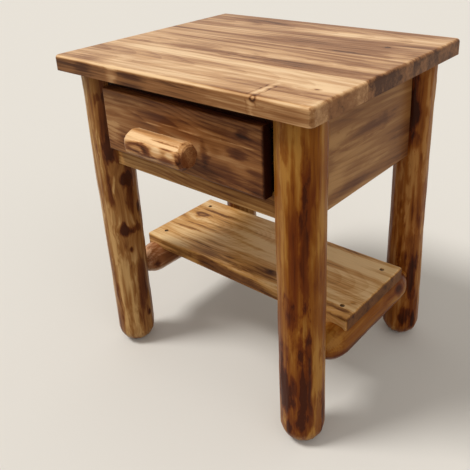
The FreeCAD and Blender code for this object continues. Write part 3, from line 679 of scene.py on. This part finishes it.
def eased_board(name, node, ease):
    """A copy of a sawn board of the frame, its outer edges eased."""
    shape = merged_copy(node)
    bmesh.ops.dissolve_limit(shape, angle_limit=math.radians(1), verts=shape.verts, edges=shape.edges)
    low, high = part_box(node)

    def sides_at(point):
        """The sides of the board's box that a point lies on."""
        return {(axis, far) for axis in range(3) for far in (0, 1)
                if abs(point[axis] - (low, high)[far][axis]) < same_side}

    outer = [e for e in shape.edges if len(sides_at(e.verts[0].co) & sides_at(e.verts[1].co)) == 2]
    bmesh.ops.bevel(shape, geom=outer, offset=ease, offset_type="OFFSET", segments=3, profile=0.5,
                    affect="EDGES", clamp_overlap=True)
    bmesh.ops.recalc_face_normals(shape, faces=shape.faces)
    for face in shape.faces:
        face.smooth = max(abs(part) for part in face.normal) < 0.9999
    return piece_from(shape, name)


def middle_of(node):
    """The centre of a CAD node's box."""
    low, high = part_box(node)
    return (low + high) / 2


def torch_marks(node, along, across, rows):
    """Torch marks on a board, in grain coordinates: places along and across it, half sizes, and heat."""
    right_through = 10.0
    centre = dict(zip("xyz", middle_of(node)))
    order = grain_order[along].lower()
    marks = []
    for place, side, half_length, half_width, heat in rows:
        spot = {along: place - centre[along], across: side - centre[across]}
        size = {along: half_length, across: half_width}
        reach = [size.get(axis, right_through) for axis in order]
        marks.append(([spot.get(axis, 0.0) for axis in order], reach, heat))
    return marks


panel_tones = [(186, 140, 88), (147, 99, 55), (104, 62, 36), (60, 31, 17)]
panels = {
    "side_panel_left": ("y", 11.0, [((0.06, -0.006, 0.03), (0.01, 10.0, 0.007), 0.3, 1.0)]),
    "side_panel_right": ("y", 12.0, []),
    "back_panel": (
        "x", 13.0,
        [
            ((0.07, 0.0, 0.025), (0.011, 10.0, 0.008), 0.3, 1.0),
            ((-0.09, 0.0, -0.04), (0.009, 10.0, 0.006), 0.2, 1.0),
        ],
    ),
}
panel_rows = {
    "side_panel_left": [
        (0.06, 0.52, 0.09, 0.012, 0.2), (-0.03, 0.45, 0.08, 0.014, 0.18),
        (0.02, 0.424, 0.15, 0.01, -0.14),
    ],
    "side_panel_right": [
        (0.03, 0.519, 0.1, 0.013, 0.34), (-0.026, 0.438, 0.06, 0.012, 0.18),
        (-0.047, 0.556, 0.06, 0.01, 0.14), (-0.095, 0.5, 0.02, 0.03, 0.12),
        (0.07, 0.466, 0.07, 0.016, -0.16), (-0.072, 0.463, 0.035, 0.014, -0.12),
        (0.02, 0.424, 0.15, 0.008, -0.16), (0.11, 0.56, 0.05, 0.014, -0.1),
    ],
    "back_panel": [
        (-0.05, 0.54, 0.12, 0.012, 0.22), (0.09, 0.47, 0.1, 0.014, 0.18), (0.0, 0.424, 0.19, 0.01, -0.14),
    ],
}
for node, (along, seed, knots) in panels.items():
    panel = eased_board(f"eased_{node}", node, panel_ease)
    finish = scorched_pine(
        f"{node}_pine", along, middle_of(node), panel_tones, knots,
        torch_marks(node, along, "z", panel_rows[node]), edge_wear_and_highlight=0.6, seed=seed, scorching=0.04,
        contrast=0.7, streaks=(2.0, 26.0, 26.0), patches=(2.5, 9.0, 9.0),
        heart=(0.12, -0.050, 0.012), sway=0.02, ring_width=0.0065, ring_strength=0.08,
    )
    panel.data.materials.append(finish)
    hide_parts(node)
    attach(panel, "stand")


# Front rails: one board under the drawer and a narrower one over it, let into the front legs.
# The lower one is darker close under the drawer, a painted shade, and paler towards its lower edge. The
# upper one is coloured nearly black as painted shade, and only shows in the gap over the drawer front.

rail_ease = 0.0015
rails = {
    "front_rail_lower": (21.0, 0.02, [(200, 152, 92), (156, 104, 52), (98, 54, 24), (46, 20, 9)]),
    # The upper rail's near-black tones and extra heat are painted shade in the gap under the table top.
    "front_rail_upper": (22.0, 0.2, [(84, 48, 24), (54, 26, 12), (32, 13, 6), (18, 7, 4)]),
}
rail_shade_gradient = {
    "front_rail_lower": [
        # Painted shade: the rail is paler towards its lower edge and browner close under the drawer front.
        ((0.0, 0.0, -0.0215), (10.0, 10.0, 0.011), -0.24),
        ((0.08, 0.0, 0.012), (0.19, 10.0, 0.015), 0.16),
    ],
}
for node, (seed, scorching, rail_tones) in rails.items():
    rail = eased_board(f"eased_{node}", node, rail_ease)
    finish = scorched_pine(
        f"{node}_pine", "x", middle_of(node), rail_tones, (), rail_shade_gradient.get(node, ()),
        edge_wear_and_highlight=0.8, seed=seed, scorching=scorching, contrast=0.8,
        streaks=(2.4, 34.0, 34.0), patches=(3.0, 12.0, 12.0),
        heart=(0.05, -0.030, 0.010), ring_width=0.005, ring_strength=0.16,
    )
    rail.data.materials.append(finish)
    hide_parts(node)
    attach(rail, "stand")


# Runners, guides and cleats: plain planed pine inside the case. The drawer slides on the runners
# between the guides, and the cleats hold the table top with screws from below.

planed_ease = 0.0008
plain_tones = [(226, 194, 146), (206, 164, 112), (172, 124, 76), (120, 80, 46)]
inside_sticks = ["drawer_runner_left", "drawer_runner_right", "drawer_guide_left", "drawer_guide_right",
                 "top_cleat_left", "top_cleat_right"]
for number, node in enumerate(inside_sticks, 31):
    stick = eased_board(f"planed_{node}", node, planed_ease)
    finish = scorched_pine(
        f"{node}_pine", "y", middle_of(node), plain_tones,
        seed=float(number), scorching=-0.12, contrast=0.4, streaks=(2.5, 40.0, 40.0),
        heart=(0.04, -0.030, 0.010), ring_width=0.004, ring_strength=0.3,
    )
    stick.data.materials.append(finish)
    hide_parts(node)
    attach(stick, "stand")


# Shelf: one wide pine board laid on the stretchers, its ends past the legs' middles and its upper
# edges rounded over. Four wood screws with sunk heads hold it down.

screw_head_radius = 0.00425
screw_head_height = 0.003
shelf_tones = [(240, 204, 150), (206, 152, 86), (122, 76, 38), (60, 30, 14)]
shelf_knots = [
    ((-0.214, 0.03, 0.0), (0.016, 0.01, 10.0), 0.6, 1.7),
    ((0.11, -0.03, 0.0), (0.012, 0.008, 10.0), 0.5, 1.4),
]
# The broad pale mark (0.01, 0.04, ...) is painted light, lifting the middle of the board that lies in shade
# under the case.
shelf_rows = [
    (-0.215, -0.04, 0.05, 0.03, -0.04), (-0.19, 0.05, 0.08, 0.06, 0.1), (0.01, 0.04, 0.12, 0.06, -0.24),
    (-0.2, 0.0, 0.05, 0.0045, 0.3), (-0.15, 0.022, 0.06, 0.004, 0.28), (-0.1, -0.012, 0.07, 0.004, 0.26),
    (-0.18, 0.09, 0.07, 0.005, 0.28), (-0.08, 0.072, 0.07, 0.004, 0.26), (-0.02, 0.02, 0.07, 0.004, 0.28),
    (-0.13, 0.116, 0.08, 0.005, 0.24), (0.03, 0.09, 0.06, 0.004, 0.22),
    (-0.14, -0.036, 0.06, 0.004, 0.28), (-0.085, -0.054, 0.075, 0.016, 0.26),
    (0.0, -0.048, 0.06, 0.014, 0.18), (0.055, -0.044, 0.05, 0.024, 0.24),
    (-0.03, -0.068, 0.11, 0.006, 0.13), (0.064, -0.031, 0.012, 0.01, 0.25),
    (0.19, 0.04, 0.09, 0.06, 0.14), (0.195, -0.048, 0.045, 0.009, 0.3),
    (0.237, -0.023, 0.008, 0.006, 0.3), (0.235, -0.046, 0.022, 0.008, 0.26),
    (0.15, 0.126, 0.13, 0.01, 0.2), (0.215, -0.066, 0.05, 0.008, 0.16),
]


def repaint(node, finish):
    """Gives a CAD node, whose shape is right as it is, its finished material."""
    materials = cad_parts[node].data.materials
    materials.clear()
    materials.append(finish)


# The slope of heat along the board (side) is painted light, paler to the right where the board lies in shade;
# the darker end faces are partly end grain and partly painted shade.
repaint("shelf_board", scorched_pine(
    "shelf_pine", "x", middle_of("shelf_board"), shelf_tones, shelf_knots,
    torch_marks("shelf_board", "x", "y", shelf_rows), (0.56, 0.20, 0.0), (0.030, 0.012, 0.003),
    seed=41.0, scorching=-0.10, contrast=0.66, streaks=(5.0, 56.0, 56.0), patches=(5.0, 20.0, 20.0),
    side=(-0.40, 0.0, 0.0), heart=(0.16, 0.010, -0.055), sway=0.06, ring_width=0.005, ring_strength=0.06,
))


def make_wood_screws():
    """Round-headed screws with a crossed slot, one at each point, driven the way the point says."""
    tree, given, result = new_group(
        "wood screws",
        {
            "Points": "Geometry", "Head radius": screw_head_radius, "Head height": screw_head_height,
            "Shank radius": 0.00225, "Shank length": 0.03, "Slot width": 0.0010, "Finish": "Material",
        },
        {"Screws": "Geometry"},
        "GeometryNodeTree",
    )
    skirt_share = 0.45
    crown_share = 0.62
    slot_share = 1.15
    tip_share = 0.4

    def raised(kind, inputs, rise):
        """A simple solid, moved along the screw's axis."""
        solid = add_node(tree, kind, inputs).outputs["Mesh"]
        way = add_node(tree, "ShaderNodeCombineXYZ", {"Z": rise}).outputs[0]
        return add_node(tree, "GeometryNodeTransform", {"Geometry": solid, "Translation": way}).outputs[0]

    skirt_height = reckon(tree, "MULTIPLY", given["Head height"], skirt_share)
    crown_height = reckon(tree, "SUBTRACT", given["Head height"], skirt_height)
    crown_radius = reckon(tree, "MULTIPLY", given["Head radius"], crown_share)
    slot_length = reckon(tree, "MULTIPLY", given["Head radius"], slot_share)
    tip_radius = reckon(tree, "MULTIPLY", given["Shank radius"], tip_share)
    skirt = raised(
        "GeometryNodeMeshCylinder",
        {"Vertices": 24, "Radius": given["Head radius"], "Depth": skirt_height},
        reckon(tree, "MULTIPLY", skirt_height, 0.5),
    )
    crown = raised(
        "GeometryNodeMeshCone",
        {"Vertices": 24, "Side Segments": 3, "Radius Top": crown_radius,
         "Radius Bottom": given["Head radius"], "Depth": crown_height},
        skirt_height,
    )
    for length, width in ((slot_length, given["Slot width"]), (given["Slot width"], slot_length)):
        sides = {"X": length, "Y": width, "Z": given["Head height"]}
        size = add_node(tree, "ShaderNodeCombineXYZ", sides).outputs[0]
        cutter = raised("GeometryNodeMeshCube", {"Size": size}, given["Head height"])
        cut = add_node(tree, "GeometryNodeMeshBoolean", {"Mesh 1": crown}, operation="DIFFERENCE")
        plug(tree, cut.inputs["Mesh 2"], cutter)
        crown = cut.outputs["Mesh"]
    shank = raised(
        "GeometryNodeMeshCone",
        {"Vertices": 16, "Radius Top": given["Shank radius"], "Radius Bottom": tip_radius,
         "Depth": given["Shank length"]},
        reckon(tree, "MULTIPLY", given["Shank length"], -1.0),
    )
    screw = add_node(tree, "GeometryNodeJoinGeometry")
    for part in (crown, skirt, shank):
        tree.links.new(part, screw.inputs[0])
    drive = add_node(tree, "GeometryNodeInputNamedAttribute", {"Name": "drive"}, data_type="FLOAT_VECTOR")
    outward = scaled(tree, drive.outputs["Attribute"], -1.0)
    turn = add_node(tree, "FunctionNodeAlignRotationToVector", {"Vector": outward}, axis="Z")
    inputs = {"Points": given["Points"], "Instance": screw.outputs[0], "Rotation": turn.outputs[0]}
    placed = add_node(tree, "GeometryNodeInstanceOnPoints", inputs)
    finish_tree(tree, placed.outputs[0], given["Finish"], result["Screws"])
    return tree


def make_dark_steel():
    """Browned steel, rubbed brighter here and there."""
    material, tree, shader = new_material("dark_screw_steel")
    place = add_node(tree, "ShaderNodeTexCoord").outputs["Object"]
    rubbed = soft_step(tree, cloud(tree, place, (420.0, 420.0, 420.0), 3.0, 0.6), 0.4, 0.7)
    shader["Metallic"].default_value = 0.85
    plug(tree, shader["Base Color"], mix_tones(tree, rubbed, paint(112, 88, 62), paint(150, 126, 98)))
    plug(tree, shader["Roughness"], soft_step(tree, rubbed, 0.0, 1.0, 0.5, 0.32))
    return material


wood_screws = make_wood_screws()
dark_steel = make_dark_steel()


def separate_solids(node):
    """The lowest and highest corners of each solid in a node, in order of place."""
    shape = merged_copy(node)
    shape.verts.ensure_lookup_table()
    seen = set()
    boxes = []
    for start in shape.verts:
        if start.index in seen:
            continue
        seen.add(start.index)
        waiting = [start]
        found = []
        while waiting:
            vertex = waiting.pop()
            found.append(vertex.co.copy())
            for edge in vertex.link_edges:
                other = edge.other_vert(vertex)
                if other.index not in seen:
                    seen.add(other.index)
                    waiting.append(other)
        low = Vector([min(point[axis] for point in found) for axis in range(3)])
        high = Vector([max(point[axis] for point in found) for axis in range(3)])
        boxes.append((low, high))
    shape.free()
    return sorted(boxes, key=lambda box: tuple(round(part, 5) for part in box[0]))


def drive_screws(node, body, drive):
    """Puts a finished screw in the place of each plain one in a node. Drive gives the way one is driven."""
    seats = []
    length = 0.0
    for low, high in separate_solids(node):
        middle = (low + high) / 2
        way = Vector(drive(middle))
        whole = abs((high - low).dot(way))
        seats.append((middle - way * (whole / 2 - screw_head_height), way))
        length = whole - screw_head_height
    mesh = bpy.data.meshes.new(f"turned_{node}")
    mesh.from_pydata([seat for seat, way in seats], [], [])
    ways = mesh.attributes.new("drive", "FLOAT_VECTOR", "POINT")
    for index, (seat, way) in enumerate(seats):
        ways.data[index].vector = way
    screws = put_in_scene(f"turned_{node}", mesh)
    work_on(screws, wood_screws, {"Head radius": screw_head_radius, "Head height": screw_head_height,
                                  "Shank length": length, "Finish": dark_steel})
    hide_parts(node)
    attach(screws, body)


drive_screws("shelf_screws", "stand", lambda middle: (0, 0, -1))


# Table top: three pine boards edge-glued into one slab, its upper edges rounded over and its corners
# softened, torched in long streaks, paler along the round of the front edge as wear and a painted highlight,
# and lacquered.
# Screws through the cleats hold it from below.

top_tones = [(242, 206, 160), (208, 162, 114), (150, 102, 62), (78, 44, 24)]
top_boards = {
    "top_board_front": (
        51.0, -0.04, (0.1, 0.01, -0.06),
        [
            ((0.1827, -0.069, 0.0105), (0.005, 0.005, 0.005), 1.0, 0.25),
            ((0.24, -0.0005, 0.0), (0.004, 0.0026, 10.0), 0.3, 0.6),
        ],
    ),
    "top_board_middle": (
        52.0, 0.05, (0.06, -0.02, -0.05), [((0.279, 0.027, -0.004), (0.003, 0.004, 0.003), 0.0, 1.0)],
    ),
    "top_board_back": (
        53.0, 0.14, (0.09, 0.02, -0.07), [((0.2035, -0.036, 0.0), (0.004, 0.003, 10.0), 0.2, 0.6)],
    ),
}
top_rows = {
    "top_board_front": [
        (-0.198, -0.19, 0.045, 0.02, 0.22), (-0.235, -0.088, 0.045, 0.018, 0.14),
        (0.137, -0.195, 0.06, 0.018, 0.14), (0.24, -0.207, 0.045, 0.012, 0.14),
        (-0.04, -0.15, 0.15, 0.026, -0.16), (0.25, -0.145, 0.045, 0.026, -0.24),
        (0.1, -0.085, 0.075, 0.014, -0.12), (-0.14, -0.17, 0.035, 0.014, -0.16),
        (0.178, -0.176, 0.005, 0.036, -0.34), (0.1705, -0.178, 0.0016, 0.03, 0.26),
        (0.1865, -0.178, 0.0016, 0.03, 0.26), (0.279, -0.193, 0.014, 0.022, -0.22),
        (0.279, -0.136, 0.006, 0.024, 0.14), (0.279, -0.094, 0.006, 0.016, -0.08),
        (-0.194, -0.213, 0.03, 0.004, 0.12), (-0.07, -0.213, 0.04, 0.004, 0.14),
        (0.045, -0.213, 0.06, 0.004, 0.1), (-0.118, -0.213, 0.014, 0.004, -0.22),
        (0.22, -0.213, 0.07, 0.004, -0.06),
    ],
    "top_board_middle": [
        (-0.091, -0.038, 0.12, 0.024, 0.22), (0.168, -0.042, 0.15, 0.02, 0.26),
        (-0.195, 0.016, 0.06, 0.018, 0.14), (0.211, -0.004, 0.065, 0.016, 0.18),
        (0.06, 0.052, 0.1, 0.014, 0.14), (0.175, 0.058, 0.085, 0.011, 0.26),
        (-0.225, -0.055, 0.05, 0.018, 0.12), (0.02, 0.008, 0.09, 0.012, -0.14),
        (0.24, 0.028, 0.03, 0.01, -0.12), (0.279, -0.015, 0.008, 0.065, 0.16),
        (0.279, 0.048, 0.006, 0.014, -0.08),
    ],
    "top_board_back": [
        (0.196, 0.236, 0.075, 0.016, 0.18), (0.244, 0.085, 0.032, 0.018, -0.2),
        (0.087, 0.174, 0.095, 0.018, -0.18), (-0.195, 0.171, 0.08, 0.022, -0.14),
        (0.05, 0.1, 0.11, 0.014, 0.16), (-0.12, 0.215, 0.1, 0.012, 0.14), (0.16, 0.13, 0.085, 0.01, 0.14),
        (0.279, 0.1, 0.01, 0.02, -0.1),
    ],
}
front_edge_highlights = {
    # Painted highlight: a paler band along the upper round of the front edge.
    "top_board_front": [
        ((-0.025, -0.07, 0.013), (0.19, 0.009, 0.006), -0.3),
        ((0.242, -0.07, 0.013), (0.046, 0.009, 0.006), -0.28),
    ],
}
for node, (seed, scorching, heart, knots) in top_boards.items():
    marks = torch_marks(node, "x", "y", top_rows[node]) + front_edge_highlights.get(node, [])
    repaint(node, scorched_pine(
        f"{node}_pine", "x", middle_of(node), top_tones, knots, marks, (0.33, 0.27, 0.0),
        edge_wear_and_highlight=1.5, seed=seed, scorching=scorching, contrast=0.75,
        streaks=(1.4, 50.0, 50.0), patches=(2.2, 9.0, 9.0),
        heart=heart, sway=0.012, ring_width=0.0075, ring_strength=0.08,
    ))
drive_screws("top_screws", "stand", lambda middle: (0, 0, 1))


# Drawer box: four planed pine boards, the front and back screwed between the sides, with a thin
# bottom let into a groove. It is left pale and clear, but for painted shade darkening the outside of
# the sides near their front, where they show in the gap beside the drawer front.

box_tones = [(226, 194, 146), (206, 164, 112), (120, 72, 38), (34, 14, 7)]
box_boards = {
    "drawer_box_front": ("x", []),
    "drawer_box_back": ("x", []),
    "drawer_bottom": ("x", []),
    # Painted shade on the sides near their front, where they show in the dark gap beside the drawer front.
    "drawer_side_left": ("y", [((-0.168, -0.006, 0.0), (0.03, 0.008, 10.0), 0.8)]),
    "drawer_side_right": ("y", [((-0.168, 0.006, 0.0), (0.03, 0.008, 10.0), 0.8)]),
}
for number, (node, (along, gap_shade)) in enumerate(box_boards.items(), 61):
    board = eased_board(f"planed_{node}", node, planed_ease)
    finish = scorched_pine(
        f"{node}_pine", along, middle_of(node), box_tones, (), gap_shade,
        seed=float(number), scorching=-0.12, contrast=0.4, streaks=(2.5, 40.0, 40.0),
        heart=(0.10, -0.030, 0.010), ring_width=0.005, ring_strength=0.3,
    )
    board.data.materials.append(finish)
    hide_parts(node)
    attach(board, "drawer")
drive_screws("drawer_box_screws", "drawer", lambda middle: (-math.copysign(1, middle.x), 0, 0))


# Drawer front: a thicker flat-sawn pine board with bold arched grain, rounded over at its front edges,
# scorched darker than the rest and screwed to the box from inside. A painted shade darkens its upper edge
# under the table top, and a painted shadow of the pull lies beside the pull's right end.

front_tones = [(194, 148, 100), (146, 96, 55), (95, 53, 29), (44, 18, 9)]
front_rows = [
    (-0.162, 0.498, 0.03, 0.022, -0.32), (-0.13, 0.548, 0.045, 0.01, -0.12),
    # (0.02, 0.57, ...) is painted shade under the table top, and (0.062, 0.512, ...) is the pull's painted
    # shadow.
    (0.02, 0.57, 0.19, 0.012, 0.16), (0.142, 0.558, 0.018, 0.009, 0.4), (0.13, 0.525, 0.02, 0.008, 0.34),
    (0.062, 0.512, 0.01, 0.022, 0.36), (-0.06, 0.5355, 0.026, 0.0014, -0.3),
    (-0.02, 0.5407, 0.026, 0.0014, -0.3), (0.022, 0.539, 0.026, 0.0014, -0.3),
    (0.142, 0.54, 0.036, 0.0014, -0.26), (0.13, 0.52, 0.08, 0.07, 0.1),
    (0.136, 0.496, 0.028, 0.014, -0.2), (0.1, 0.536, 0.04, 0.008, -0.12),
    (0.168, 0.474, 0.018, 0.014, 0.26), (0.085, 0.48, 0.06, 0.01, 0.14),
    (-0.131, 0.566, 0.035, 0.007, 0.14), (0.125, 0.457, 0.075, 0.016, 0.16),
    (0.047, 0.549, 0.042, 0.01, -0.2), (-0.092, 0.56, 0.032, 0.01, -0.16),
    (0.087, 0.518, 0.02, 0.01, 0.17), (-0.158, 0.538, 0.024, 0.009, 0.12),
]
repaint("drawer_front", scorched_pine(
    "drawer_front_pine", "x", middle_of("drawer_front"), front_tones, (),
    torch_marks("drawer_front", "x", "z", front_rows), (0.50, 0.0, 0.20),
    seed=71.0, scorching=0.04, contrast=0.65, streaks=(2.6, 40.0, 40.0), patches=(5.0, 16.0, 16.0),
    heart=(0.14, -0.060, 0.000), sway=0.03, ring_width=0.0052, ring_strength=0.13,
))
drive_screws("drawer_front_screws", "drawer", lambda middle: (0, -1, 0))


# Pull: a short piece of branch, whittled with a knife into broad facets and bevelled at both ends.
# It is paler than the legs, and stands off the drawer front on two dowel posts, screwed from inside.

bevel_depth = 0.0055
bevel_length = 0.008
pull_rings = 48
low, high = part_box("drawer_pull")
pull_radius = (high.z - low.z) / 2
pull_axis = Vector(((low.x + high.x) / 2, high.y - pull_radius, (low.z + high.z) / 2))
end_radius = pull_radius - bevel_depth
pull_end = [
    (0.0, 0.0),
    (0.0, end_radius * 0.55),
    (0.0, end_radius - 0.0008),
    (0.0004, end_radius),
    (bevel_length * 0.33, end_radius + bevel_depth * 0.35),
    (bevel_length * 0.66, end_radius + bevel_depth * 0.68),
    (bevel_length * 0.95, pull_radius - 0.0004),
    (bevel_length * 1.15, pull_radius),
]
first, last = low.x + pull_end[-1][0], high.x - pull_end[-1][0]
outline = [(low.x + at, out) for at, out in pull_end]
outline += rings_between(first, last, pull_radius, pull_rings)
outline += [(high.x - at, out) for at, out in reversed(pull_end)]
pull_tones = [(248, 208, 158), (206, 152, 98), (124, 72, 40), (60, 28, 14)]
pull_marks_and_highlights = [
    ((0.0, -0.004, 0.0235), (0.075, 0.01, 0.006), 0.16),
    ((0.022, -0.0131, 0.0195), (0.045, 0.0018, 0.0018), 0.5),
    # The two pale strips below are painted highlights on the pull's upper front facets.
    ((0.03, -0.0172, 0.016), (0.034, 0.0034, 0.0034), -0.45),
    ((-0.035, -0.0135, 0.019), (0.036, 0.005, 0.005), -0.32),
    ((0.038, -0.0195, 0.0131), (0.018, 0.0024, 0.0024), 0.46),
    ((0.016, -0.0225, 0.006), (0.016, 0.006, 0.006), -0.25),
    ((0.046, -0.0229, 0.0053), (0.012, 0.005, 0.005), -0.28),
    ((-0.028, -0.0235, 0.0), (0.032, 0.011, 0.011), 0.5),
    ((-0.034, -0.0234, 0.0005), (0.016, 0.0055, 0.0055), -0.4),
    ((0.036, -0.0225, -0.006), (0.022, 0.007, 0.007), 0.26),
    ((0.0, -0.012, -0.021), (0.08, 0.012, 0.008), 0.24), ((0.066, 0.0, 0.0), (0.009, 10.0, 10.0), 0.27),
]
pull_finish = scorched_pine(
    "pull_pine", "x", pull_axis, pull_tones, (), pull_marks_and_highlights, (0.03, 0.0, 0.0), (0.016, 0.003, 0.003),
    core=0.4, seed=81.0, scorching=-0.04, contrast=0.7, streaks=(5.0, 46.0, 46.0), patches=(8.0, 24.0, 24.0),
    heart=(0.02, 0.002, 0.003), sway=0.010, ring_width=0.0030, ring_strength=0.12,
)
pull = peel(
    "whittled_drawer_pull", outline, "x", pull_axis, pull_radius, pull_finish, 8.0,
    cut_depth=0.0012, cut_length=12.0, cuts_per_metre=52.0, unevenness=0.0003,
)
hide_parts("drawer_pull")
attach(pull, "drawer")
repaint("pull_posts", scorched_pine(
    "pull_post_pine", "y", middle_of("pull_posts"), plain_tones,
    seed=82.0, scorching=-0.1, contrast=0.5, streaks=(6.0, 80.0, 80.0),
    heart=(0.02, -0.030, 0.010), ring_width=0.003, ring_strength=0.3,
))
drive_screws("pull_screws", "drawer", lambda middle: (0, -1, 0))


# Studio: a plain pale floor, a soft high sun from the front left, a weak fill from the right, a pale
# even sky, and the camera at the place the photograph was taken from.

floor_reach = 14.0
floor_drop = 0.0005
studio_pale = paint(226, 224, 220)
floor_bounce = paint(140, 136, 130)
sky_light = (0.48, 0.454, 0.414, 1.0)
bpy.context.scene.view_settings.view_transform = "Standard"


def shows_as(tree, seen, lights):
    """A colour for what the camera and reflections see, and another for the light that is passed on."""
    path = add_node(tree, "ShaderNodeLightPath").outputs
    direct = reckon(tree, "MAXIMUM", path["Is Camera Ray"], path["Is Glossy Ray"])
    direct = reckon(tree, "MAXIMUM", direct, path["Is Transmission Ray"])
    return mix_tones(tree, direct, lights, seen)


floor_mesh = bpy.data.meshes.new("studio_floor")
corners = [(-1, -1), (1, -1), (1, 1), (-1, 1)]
floor_points = [(x * floor_reach, y * floor_reach, -floor_drop) for x, y in corners]
floor_mesh.from_pydata(floor_points, [], [(0, 1, 2, 3)])
floor = put_in_scene("studio_floor", floor_mesh)
floor_paint, floor_tree, floor_shader = new_material("pale_floor")
floor_shader["Roughness"].default_value = 0.9
floor_shader["Specular IOR Level"].default_value = 0.0
plug(floor_tree, floor_shader["Base Color"], shows_as(floor_tree, studio_pale, floor_bounce))
floor_mesh.materials.append(floor_paint)

sky = bpy.data.worlds.new("studio_sky")
bpy.context.scene.world = sky
sky.use_nodes = True
sky_colour = sky.node_tree.nodes["Background"].inputs["Color"]
plug(sky.node_tree, sky_colour, shows_as(sky.node_tree, studio_pale, sky_light))


def add_sun(name, strength, spread, way, colour):
    """A soft sun that shines one way, its spread in degrees."""
    light = bpy.data.lights.new(name, "SUN")
    light.energy = strength
    light.angle = math.radians(spread)
    light.color = colour
    sun = put_in_scene(name, light)
    sun.rotation_euler = Vector(way).to_track_quat("-Z", "Y").to_euler()


add_sun("key_sun", 1.9, 17, (0.36, 0.40, -0.9), (1.0, 0.97, 0.92))
add_sun("right_fill", 0.45, 60, (-0.8, 0.35, -0.45), (1.0, 1.0, 1.0))

camera_place = (0.69368, -0.81734, 0.87458)
camera_heading = 41.4967
camera_dip = 23.8189
camera_roll = -2.7417
camera_data = bpy.data.cameras.new("camera")
camera_data.lens = 47.127
camera_data.sensor_width = 36.0
camera_data.shift_x = -0.01473
camera_data.shift_y = -0.14255
camera = put_in_scene("camera", camera_data)
turn = Matrix.Rotation(math.radians(camera_heading), 4, "Z")
turn @= Matrix.Rotation(math.radians(90 - camera_dip), 4, "X")
turn @= Matrix.Rotation(math.radians(camera_roll), 4, "Z")
camera.matrix_world = Matrix.Translation(camera_place) @ turn
bpy.context.scene.camera = camera
